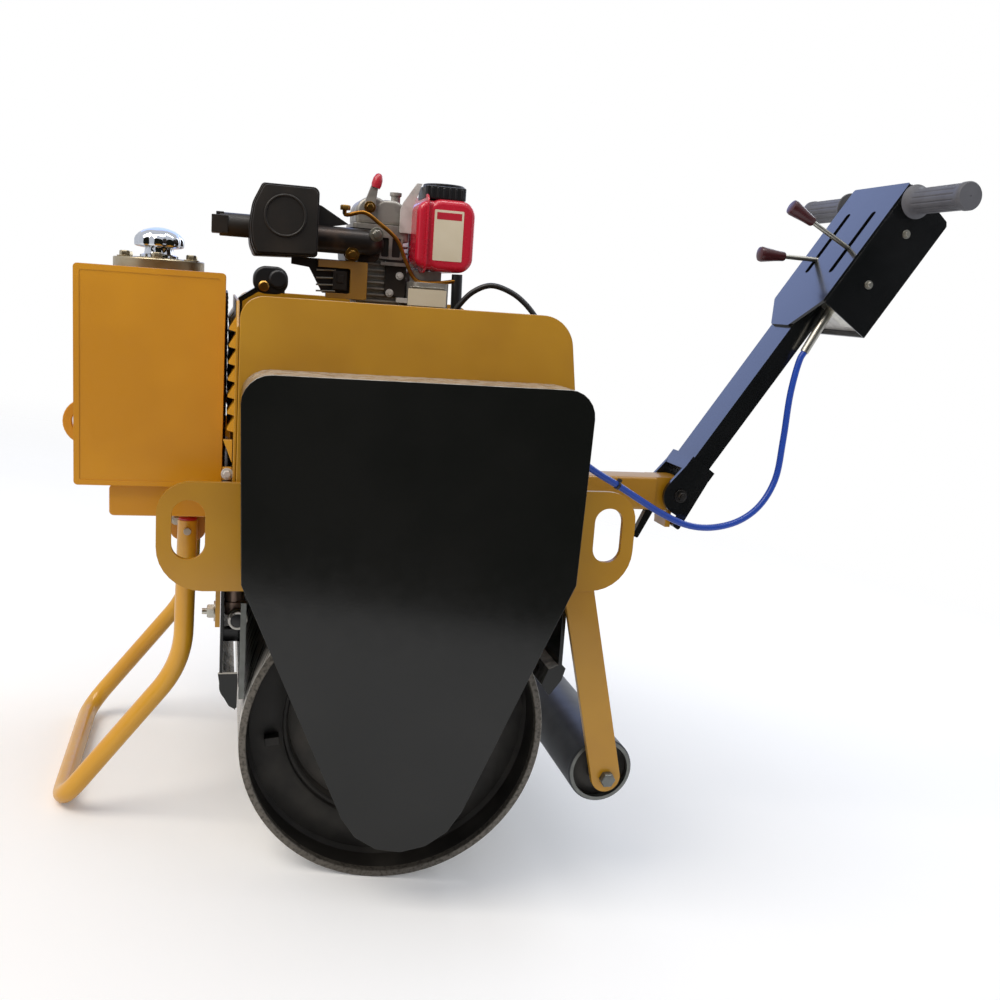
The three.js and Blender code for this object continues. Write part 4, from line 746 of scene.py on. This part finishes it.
# %% Guide roller and its bolt
GUIDE = Vector((-316, 0, 139))
profile = [(49.5, -278), (49.5, 278), (47.5, 280), (44.5, 280), (44.5, -280), (47.5, -280)]
tyre = turned(profile, sides=96, at=GUIDE)
piece("guide_roller_tube", tyre, roller_steel, "guide_roller", edge=0, stands_for=["guide_roller"])
profile = [(44.5, 269), (36, 269), (32, 271), (19, 271), (18, 277), (8.7, 277), (8.7, 262), (44.5, 262)]
plug = turned(profile, sides=64, at=GUIDE)
profile = [(47.4, 280.3), (44.8, 280.3), (44.8, 271), (42.5, 271), (42.5, 281), (47.4, 281)]
rim = turned(profile, sides=96, at=GUIDE)
piece("guide_roller_ends", both(plug), mill_scale, "guide_roller", edge=0.5)
piece("guide_roller_rims", both(rim), grey_steel, "guide_roller", edge=0)
axle_rod = tube([(GUIDE.x, -307, GUIDE.z), (GUIDE.x, 307, GUIDE.z)], 8, 24)
axle_heads = both(bolt((GUIDE.x, 306.2, GUIDE.z), (0, 1, 0), 20, washer=False))
long_bolt = gather(axle_rod, axle_heads)
piece("guide_roller_bolt", long_bolt, grey_steel, edge=0.6, stands_for=["guide_roller_axle"])

# %% [markdown]
# ## Spray pipe
# Water runs from a bar across the drum. It is plain steel pipe on two risers,
# clamped at each end by a strap and a long bolt. Tubes and rings are enough here.

# %% Spray pipe
SPRAY = Vector((217, 0, 379))
SPRAY_HALF = Vector((0, 286, 0))
bar = tube([SPRAY - SPRAY_HALF, SPRAY + SPRAY_HALF], 11, 32)
risers = [tube([(222, y, 381), (222, y, 429.5)], 12, 28) for y in (-261, 261)]
collars = [tube([(222, y, 392), (222, y, 400)], 14.5, 28) for y in (-261, 261)]
piece("spray_pipe_bar", gather(bar, *risers, *collars), pipe_steel, edge=0.5, stands_for=["spray_pipe"])
end_ring = turned([(9.4, 284), (12.2, 284), (12.2, 289.5), (9.4, 289.5)], sides=40, at=SPRAY)
piece("spray_pipe_rings", both(end_ring), bare_steel, edge=0.4)
stopper = turned([(0, 284), (9.3, 284), (9.3, 288.5), (8.3, 289), (0, 289)], sides=32, at=SPRAY)
piece("spray_pipe_plugs", both(stopper), black_plastic, edge=0)
strap = turned([(11.2, 270), (13, 270), (13, 282), (11.2, 282)], sides=40, at=SPRAY)
stud = tube([(246, 278, 389.5), (263, 278, 389.5)], 4, 16)
nuts = gather(stud, bolt((246.2, 278, 389.5), (1, 0, 0), 16))
piece("spray_pipe_straps", both(gather(strap, nuts)), zinc, edge=0.3)

# %% [markdown]
# The scrapers are folded strips that clean the drum. Their ends show past the
# drum: a flame-cut toe below, and above a bright wear strip, in part a painted highlight of the drum's lit
# edge.

# %% Scraper ends
toe = outline([(241, 306), (215.5, 306), (215.5, 254, 3), (226, 260, 8), (237, 280, 12)])
piece("scraper_toes", both(slab(toe, 283, 289)), black_dust_and_sheen, edge=0.6)
# Bright steel: a real strip, and in part a painted highlight along the drum's edge.
strip_and_highlight = slab(rectangle(206, 213.5, 270, 404), 280, 290.6)
piece("scraper_strips_and_drum_highlight", both(strip_and_highlight), grey_steel, edge=0.5)

# %% [markdown]
# ## Hydraulic tank
# The tank is folded sheet with welded ends. Its filler is a turned zinc-plated
# plate held by six screws, and on it sits the chromium-plated breather cap, whose
# rim is scalloped for the fingers.

# %% Tank and filler
carry("oil_tank", bounce_lit_yellow, edge=2.0, segments=3)
end_lip = slab(rectangle(242, 424, 550, 827, 5), 249.5, 250.9, holes=[rectangle(248.5, 417, 556.5, 820, 3)])
piece("tank_end_lips", both(end_lip), bounce_lit_yellow, edge=0.5)
FILLER = Vector((336.8, 0, 0))
profile = [
    (0, 827.7), (63.5, 827.7), (64, 828.2), (64, 840.5), (63, 841.8), (40, 842.2), (38, 843.6), (0, 843.6)
]
plate = turned(profile, "z", 96, at=FILLER)
SCREWS = 6
SCREW_CIRCLE = 53  # radius
screws = []
for k in range(SCREWS):
    turn_z = math.tau * (k + 0.5) / SCREWS
    spot = FILLER + Vector((SCREW_CIRCLE * math.cos(turn_z), SCREW_CIRCLE * math.sin(turn_z), 842))
    screws.append(bolt(spot, (0, 0, 1), 12.5))
piece("filler_plate", gather(plate, *screws), filler_zinc, edge=0.3, stands_for=["filler_flange"])


def scallops(angle, height):
    """Eight shallow finger grips round the cap's rim."""
    return 1 - 0.08 * (0.5 - 0.5 * math.cos(8 * angle)) ** 1.5 if 856 < height < 878 else 1


profile = [
    (0, 843.9), (27, 843.9), (27, 847), (21, 849), (20, 857), (31, 858.5), (34.5, 860), (35, 862),
    (35, 869), (33.5, 873), (29, 878), (22, 882.5), (13, 885.5), (6, 886.8), (0, 887.2),
]
cap = turned(profile, "z", 128, at=FILLER, swell=scallops)
piece("breather_cap", cap, chromium, edge=0, stands_for=["filler_cap"])

# %% [markdown]
# ## Front stand
# One steel tube, bent to a U, hangs on two pins. The bends are cold-bent, so they
# are long and even. Red plastic plugs close its upper ends.

# %% Stand
STAND_HALF = 181
STAND_TUBE = 13.5  # radius
STAND_BEND = 50
side = [(285.3, STAND_HALF, 492), (289.3, STAND_HALF, 284), (454, STAND_HALF, 77.63)]
far_side = [(x, -y, z) for x, y, z in reversed(side)]
u_tube = tube(bent([*side, *far_side], STAND_BEND, 12), STAND_TUBE, 28)
piece("stand_tube", u_tube, front_lit_yellow, "front_stand", edge=1, stands_for=["front_stand"])
profile = [(0, 491), (12.5, 491), (12.5, 494), (10, 496), (0, 496.5)]
plugs = turned(profile, "z", 28, at=(285.2, STAND_HALF, 0))
piece("stand_plugs", both(plugs), red_knob, "front_stand", edge=0)
cheek = slab(outline([(262, 458, 14), (309, 458, 14), (309, 508), (262, 508)]), 156.5, 162.5)
lug = box((262, 309), (156.5, 205.5), (502.5, 508))
hangers = both(gather(cheek, lug))
brackets = ["left_stand_bracket", "right_stand_bracket"]
piece("stand_hangers", hangers, bounce_lit_yellow, stands_for=brackets)
pin = tube([(285.3, 156, 478), (285.3, 199, 478)], 5, 20)
pin_parts = gather(pin, bolt((285.3, 156.4, 478), (0, -1, 0), 13), bolt((301, 162.6, 487), (0, 1, 0), 9))
piece("stand_pins", both(pin_parts), zinc, edge=0.3)

# %% [markdown]
# ## Engine
# An air-cooled single-cylinder diesel. Its crankcase and head are die-cast
# aluminium, sandy and dull; the barrel is finned; the silencer is a pressed can
# painted black that heat has turned brown. All of it shows a little above the
# body panels.

# %% Castings and covers that keep their CAD shapes
for node in ("crankcase", "cooling_shroud", "hydraulic_pump"):
    carry(node, cast, edge=1.6)
for node in ("recoil_starter", "air_cleaner", "cable_gland", "fuel_cap"):
    carry(node, black_plastic, edge=1.5)
strut = outline([(42, 810.5), (104, 810.5), (124, 846), (150, 849), (150, 859.5), (42, 859.5)])
piece("silencer_strut", slab(strut, 55.5, 61), hot_steel, edge=0.6, stands_for=["muffler_bracket"])

# %% Finned barrel and head
plan = (-22, 62, -45, 55)
FIN_PITCH = 9
FIN_THICK = 2.6
ribs = []
for row in range(21):
    low = 704 + FIN_PITCH * row
    ribs.append(slab(rectangle(*plan, 7), low, low + FIN_THICK, "z"))
core = box((-12, 52), (-35, 45), (690.7, 915.4))
foot = slab(rectangle(*plan, 6), 690.7, 701, "z")
head = slab(rectangle(*plan, 6), 893, 915.6, "z")
piece("cylinder_fins", gather(core, foot, head, *ribs), cast, edge=0.4, stands_for=["cylinder"])
dome = slab(outline([(-18, 916), (30, 916), (30, 952, 16), (-18, 952, 22)]), -41, 51)
drum_top = slab(outline([(8, 916), (58, 916), (58, 955, 23), (8, 955, 23)]), -34, 50)
piece("rocker_covers", gather(dome, drum_top), cast, edge=5, segments=4, stands_for=["rocker_cover"])
neck = turned([(0, 950), (7, 950), (7, 960), (9, 961), (9, 966), (0, 966)], "z", 24, at=(-4, 20, 0))
piece("rocker_cover_breather", neck, cast, edge=0.6)

# %% Decompression lever
blade = slab(outline([(31, 930, 7), (47, 930, 7), (46, 948), (36, 976, 3), (27, 974, 3), (30, 950)]), 52, 57)
piece("decompression_blade", blade, cast, edge=0.6, stands_for=["decompression_lever"])
grip_shape = turned([(0, -9), (6.5, -9), (7.6, -4), (7.2, 4), (5, 10), (2.5, 12), (0, 12.4)], "z", 28)
dipped = moved(grip_shape, facing((29.5, 54.5, 976), (-0.25, 0, 1)))
piece("decompression_knob", dipped, red_knob, edge=0)

# %% [markdown]
# ### Silencer and exhaust
# The silencer is a can of D-shaped section with a pressed lid, and the exhaust is
# a cast elbow. The can is one outline pushed through, drawn a little wider at its
# seam, and the elbow is a tube along a bent line.

# %% Silencer
CAN_CORNERS = [
    (118, 861, 6), (118, 954, 9), (194, 954, 6), (207, 927, 40), (211, 897, 60), (208.5, 873, 30), (202, 858, 5)
]


def can_section(wider):
    """The can's D-shaped section, made wider by a share of its size."""
    return [(164 + (a - 164) * wider, 906 + (b - 906) * wider) for a, b in outline(CAN_CORNERS)]


can = slab(can_section(1), -60, 124)
seam = slab(can_section(1.04), 100, 104)
lid = slab(can_section(0.95), 120, 129)
profile = [(29.5, 128.5), (29, 130.6), (27.5, 131.2), (26, 130.6), (25.5, 128.5)]
ring = turned(profile, sides=72, at=(164, 0, 912))
piece("silencer", gather(can, seam, lid, ring), hot_steel, edge=3.0, segments=3, stands_for=["muffler"])
tail = turned([(16.5, 207), (16.5, 252), (14.5, 252), (14.5, 207)], "x", 40, at=(0, 60, 897))
clamp = gather(box((240, 263), (44, 77), (884, 909)), box((246, 257), (52, 68), (909, 914)))
piece("tail_pipe", gather(tail, clamp), hot_steel, edge=1.2)

# %% Exhaust elbow
route = [(119, 75.3, 887), (35, 75.3, 887), (35, 56, 887)]
elbow = tube(bent(route, 18.5, 12), 19, 32)
flange = slab(rectangle(22, 76, 860, 908, 12), 55.6, 64)
piece("exhaust_pipe", gather(elbow, flange), iron, edge=1, stands_for=["exhaust_elbow"])
studs = []
for x, z in ((31.5, 899), (65.5, 868)):
    studs.append(gather(tube([(x, 60, z), (x, 99, z)], 4, 16), bolt((x, 90, z), (0, 1, 0), 12)))
piece("exhaust_stud_zinc", studs[0], zinc, edge=0.3)
piece("exhaust_stud_brass", studs[1], brass, edge=0.3)
gusset = outline([(119, 936), (110, 934), (70, 911), (110, 903), (119, 903)])
piece("exhaust_gusset", slab(gusset, 62, 70), hot_steel)
ports = [rectangle(8.5, 19.5, 869.5, 897, 2), rectangle(-9, 3.5, 869.5, 897, 2)]
port_face = slab(rectangle(-12.5, 22.5, 866, 900.5, 2), 55.5, 60, holes=ports)
piece("port_frame", gather(port_face, box((-32, 20), (50, 65), (857, 862))), cast, edge=0.6)
piece("port_shadow", box((-11, 21), (55.2, 56.5), (868, 898)), hot_steel, edge=0)

# %% [markdown]
# ### Fuel tank
# Two deep-drawn halves are rolled together, and leave a seam all the way round.
# It is sprayed signal red. A blank paper label is stuck on the end.

# %% Fuel tank
shell = slab(rectangle(-110, -38, 852.9, 955.9, 22), -130, 110)
dish = slab(rectangle(-60, -24, 855, 953, 16), 30, 109)
piece("fuel_tank_shell", gather(shell, dish), red, edge=9, segments=5, stands_for=["fuel_tank"])
seam = slab(rectangle(-133.5, 113.5, 849.5, 962, 16), -40, -37, "x")
piece("fuel_tank_seam", seam, red)
label = slab(rectangle(-92, -48.5, 868.5, 940.5, 1.5), 109.7, 110.35)
piece("fuel_tank_label", label, paper, edge=0)
header = slab(rectangle(-89, -52, 927, 937), 110.2, 110.5)
piece("label_header", header, red_knob, edge=0)
cover = slab(rectangle(-97, -36, 30, 96, 5), 956.2, 975, "z")
cover_ribs = [box((x, x + 4), (94, 98), (957, 973)) for x in range(-92, -38, 9)]
piece("tank_top_cover", gather(cover, *cover_ribs), black_plastic, edge=1.6)
stay = outline([(-37, 979), (-29, 979, 2), (-10, 950), (-6, 940), (-6, 906, 2), (-25, 906, 2), (-25, 944)])
piece("tank_stay", slab(stay, 57, 60), pale_zinc, edge=0.4)

# %% [markdown]
# ### Fittings
# Round the barrel sit the small parts that make an engine look real: a hard fuel
# pipe bent by hand, brass unions, a pressed bracket plated yellow, and covers.

# %% Injection pipe, bracket and small fittings
injector = [
    (77, 80, 936), (77, 80, 924), (50, 80, 929), (26, 80, 915), (0, 82, 894),
    (-14, 86, 864), (-30, 92, 838), (-56, 100, 836), (-87, 104, 841),
]
piece("injection_pipe", tube(through(injector), 3, 14), copper, edge=0)
unions = gather(
    bolt((77, 80, 930), (0, 0, 1), 13, washer=False),
    bolt((39, 57, 939), (0, 1, 0), 10),
    turned([(0, 143), (7.5, 143), (7.5, 148.5), (5.5, 150), (0, 150)], sides=28, at=(191, 0, 814.4)),
)
piece("brass_unions", unions, brass, edge=0.3)
carrier = outline(
    [
        (112, 858.5), (40, 858.5, 3), (40, 804, 3), (100, 804),
        (100, 811.5), (65, 811.5, 3), (65, 847.5, 3), (112, 847.5),
    ]
)
piece("governor_bracket", slab(carrier, 64, 74), ochre)
spring_rods = [tube([(114, 69, z), (86, 69, z + 1)], 1.3, 12) for z in (843, 832, 822, 813)]
piece("governor_rods", gather(*spring_rods), zinc, edge=0)
governor = gather(box((69, 90), (61, 71), (816, 844)), box((74, 84), (70, 73), (826, 838)))
piece("governor_body", governor, hot_steel, edge=2)
piece("shroud_plate", slab(rectangle(-68, -18, 797, 829, 2), 115.3, 117), zinc, edge=0.3)
piece("shroud_label", slab(rectangle(-71, -14.5, 802, 826, 1), 117.2, 117.8), paper, edge=0)
switch = gather(slab(rectangle(158, 205, 804, 842, 17), 98, 144), slab(circle(172, 825, 13), 143, 151))
piece("switch_box", switch, black_plastic, edge=6, segments=4, stands_for=["instrument_box"])
arm_of_foot = outline(
    [(162, 806), (198, 806), (219, 792), (219, 766.7), (224, 766.7), (224, 797), (202, 812), (162, 812)]
)
piece("switch_box_foot", slab(arm_of_foot, 102, 138), black, edge=0.4)
side_cover = slab(rectangle(-20, 12, 812, 868, 5), 54, 58)
cover_bolts = [bolt((x, 58, z), (0, 1, 0), 7) for x, z in ((-10, 843), (4, 817))]
cover_bolts.append(box((-24, -6), (58, 66), (804, 811)))
piece("push_rod_cover", side_cover, hot_steel, edge=1)
piece("push_rod_cover_bolts", gather(*cover_bolts), pale_zinc, edge=0.3)
piece("breather_hose", tube([(-89, 100, 851), (-90.5, 100, 790)], 8, 24), black_plastic)

# %% [markdown]
# ## Handle
# The arm is a rectangular tube on a forked bracket, so that it can be lifted. The
# control box at its top is folded from sheet and closed by a thicker plate, and
# everything there is sprayed black.

# %% Arm and control box
carry("handle_arm", black, edge=1.2)
BAR_ALONG = 611
BOX_FOOT = 394
bar_hole = circle(0, BAR_ALONG, 13.4, 40)
profile = [(17.4, BOX_FOOT), (17.4, 634), (-44.8, 634), (-75, 631, 2.5), (-80.5, 625, 2.5), (-80.5, BOX_FOOT)]
cheek = outline(profile)
cheeks = [slab(cheek, y, y + 3, holes=[bar_hole]) for y in (-81, 78)]
back = outline([(-80.5, BOX_FOOT), (-80.5, 625), (-75, 631), (-75, 628), (-77.5, 625), (-77.5, BOX_FOOT)])
crown = outline([(17.4, 634), (-44.8, 634), (-75, 631), (-75, 628), (-44.8, 631), (17.4, 631)])
folded = gather(*cheeks, slab(back, -78.5, 78.5), slab(crown, -78.5, 78.5))
piece("control_box_sheet", folded, black, "handle", ARM, edge=0.5, stands_for=["control_box"])
closer = slab(outline([(-77.4, -77.8), (-77.4, 77.8), (-18, 77.8), (-18, -77.8)]), 404, 406, "z")
piece("control_box_closer", closer, pale_zinc, "handle", ARM, edge=0.4)
carry("control_plate", black)
carry("cable_fitting", zinc, edge=0.5)
carry("handlebar", zinc)
box_bolts = [bolt((-28, 81, z), (0, 1, 0), 8.5) for z in (464, 568)]
piece("box_bolts", both(gather(*box_bolts)), zinc, "handle", ARM, edge=0.3)
pin_end = tube([(PIVOT.x, 48, PIVOT.z), (PIVOT.x, 56, PIVOT.z)], 4, 16)
pivot_bolt = gather(bolt((PIVOT.x, 44, PIVOT.z), (0, 1, 0), 13), pin_end)
piece("pivot_bolts", both(pivot_bolt), dark_zinc, edge=0.4)

# %% [markdown]
# The two levers are bright steel rods with turned phenolic knobs. The grips are
# moulded rubber with ribs along them and a flange against the thumb.

# %% Levers
LEVERS = (
    (Vector((22.3, 38, 502)), Vector((150, 38, 487))),
    (Vector((22.3, -38, 479)), Vector((115, -38, 419))),
)
SHAFT_X, SHAFT_Z = -39.7, 516
shaft = tube([(SHAFT_X, -77.5, SHAFT_Z), (SHAFT_X, 77.5, SHAFT_Z)], 6, 24)
rods, knobs = [shaft], []
profile = [
    (0, -44), (6.2, -44), (7.2, -42), (8.2, -30), (11, -10), (11.6, -5), (10.6, -1.6), (7.5, -0.2), (0, 0)
]
knob = turned(profile, "z", 32)
for foot, tip in LEVERS:
    start = Vector((SHAFT_X, foot.y, SHAFT_Z))
    lean_to = (tip - foot).normalized()
    rods.append(tube([start, foot, tip - lean_to * 40], 4, 20))
    knobs.append(moved(knob, facing(tip, lean_to) @ Matrix.Scale(1.12, 4)))
piece("lever_rods", gather(*rods), zinc, "handle", ARM, edge=0.3, stands_for=["control_levers"])
piece("lever_knobs", gather(*knobs), maroon, "handle", ARM, edge=0)

# %% Grips
RIBS = 14


def ribs_along(angle, height):
    """Ribs along the grip, between its flange and its rounded end."""
    return 1 - 0.06 * max(0, math.cos(RIBS * angle)) ** 4 if 111 < height < 213 else 1


profile = [
    (0, 229), (1.6, 229), (1.6, 229.6), (20, 229.6), (21.8, 227), (21.8, 218), (20.6, 216),
    (20.6, 213.5), (20.6, 212.5), (20.6, 112), (20.6, 110.5), (21.6, 108), (22.5, 103), (26, 99),
    (27.5, 97), (27.5, 95.6), (26.5, 94.6), (13.3, 95.3), (13.3, 224.6), (0, 224.6),
]
grip = turned(profile, sides=RIBS * 8, at=(0, 0, BAR_ALONG), swell=ribs_along)
piece("grips", both(grip), rubber, "handle", ARM, edge=0, stands_for=["left_grip", "right_grip"])

# %% Cable tie
TIE_AT = (-375, 93, 539.5)
band = turned([(6.9, -2.4), (6.9, 2.4), (5.6, 2.4), (5.6, -2.4)], "z", 28)
tie = moved(gather(band, box((5.6, 11), (-3.4, 3.4), (-2.8, 2.8))), facing(TIE_AT, (-44, -8, -23)))
piece("cable_tie", tie, black_plastic, edge=0)

# %% [markdown]
# ## Studio
# A pale floor that fades into white, a soft sky, a large warm lamp ahead on the
# left and a smaller cool one behind on the right. Glossy black paint shows what
# stands around it, so a dark screen stands behind the camera, a pale blue one hangs
# over the far side and a bright strip overhead. They are seen in reflections only.

# %% Floor
def card(name, wide, tall):
    """One flat face that belongs to the studio, with an empty material."""
    mesh = bpy.data.meshes.new(name)
    x, y = wide / 2, tall / 2
    mesh.from_pydata([(-x, -y, 0), (x, -y, 0), (x, y, 0), (-x, y, 0)], [], [(0, 1, 2, 3)])
    made = bpy.data.objects.new(name, mesh)
    bpy.context.scene.collection.objects.link(made)
    surface = bpy.data.materials.new(name)
    surface.use_nodes = True
    surface.node_tree.nodes.clear()
    mesh.materials.append(surface)
    return made, surface.node_tree


floor, tree = card("floor", 18, 18)
floor.active_material.name = "pale floor"
where = add(tree, "TexCoord").outputs["Object"]
away = add(tree, "VectorMath", {0: where}, operation="LENGTH").outputs["Value"]
fade = add(tree, "MapRange", {"Value": away, 1: 1.6, 2: 4.5}, interpolation_type="SMOOTHSTEP")
cloud = add(tree, "TexNoise", {"Vector": where, "Scale": 3.0, "Detail": 5.0})
pale = mixed(tree, cloud, hexa("#f8f8f7"), hexa("#f4f4f3"))
flat = add(tree, "BsdfDiffuse", {"Color": pale})
only_seen = add(tree, "LightPath").outputs["Is Camera Ray"]
lift = add(tree, "Math", {0: only_seen, 1: 0.1}, operation="MULTIPLY")
wash = add(tree, "Emission", {"Strength": lift})
flat = add(tree, "AddShader", {0: flat, 1: wash})
clear = add(tree, "BsdfTransparent")
seen = add(tree, "MixShader", {0: fade, 1: flat, 2: clear})
add(tree, "OutputMaterial", {"Surface": seen})
print(floor.name, "made")

# %% Sky
world = bpy.data.worlds.new("studio")
bpy.context.scene.world = world
world.use_nodes = True
tree = world.node_tree
tree.nodes.clear()
ray = add(tree, "LightPath")
backdrop = add(tree, "Background", {"Color": (1, 1, 1, 1), "Strength": 1.0})
light = add(tree, "Background", {"Color": hexa("#f4f7ff"), "Strength": 0.74})
both_skies = {0: ray.outputs["Is Camera Ray"], 1: light, 2: backdrop}
sky = add(tree, "MixShader", both_skies)
add(tree, "OutputWorld", {"Surface": sky})
print("sky made")


# %% Lamps and screens
def lamp(name, at, towards, size, watts, colour="#ffffff"):
    data = bpy.data.lights.new(name, "AREA")
    data.shape = "SQUARE"
    data.size = size
    data.energy = watts
    data.color = hexa(colour)[:3]
    made = bpy.data.objects.new(name, data)
    bpy.context.scene.collection.objects.link(made)
    made.matrix_world = facing(at, Vector(at) - Vector(towards))
    return made


def screen(name, at, towards, wide, tall, colour, strength):
    """A glowing card that shows in glossy surfaces and nowhere else."""
    made, tree = card(name, wide, tall)
    emit = add(tree, "Emission", {"Color": hexa(colour), "Strength": strength})
    add(tree, "OutputMaterial", {"Surface": emit})
    made.matrix_world = facing(at, Vector(towards) - Vector(at))
    made.visible_camera = made.visible_diffuse = made.visible_shadow = False
    made.visible_transmission = made.visible_volume_scatter = False
    return made


lamp("key", (3.0, 1.6, 3.6), (0, 0, 0.5), 2.4, 110, "#fff6ea")
lamp("rim", (-2.6, -2.2, 2.6), (0, 0, 0.6), 2.0, 40, "#eaf2ff")
screen("dark screen", (0.2, 1.85, 1.0), (0.2, 0, 1.0), 5.0, 2.0, "#25251f", 0.65)
screen("blue screen", (0.33, -2.6, 2.2), (-0.2, 0, 0.8), 2.6, 1.8, "#b0c4ff", 1.85)
screen("strip", (0.2, 0.9, 5.0), (0.2, 0.6, 0), 4.0, 0.8, "#ffffff", 9)
print("two lamps and three screens made")

# %% How colours are shown
bpy.context.scene.view_settings.view_transform = "Standard"
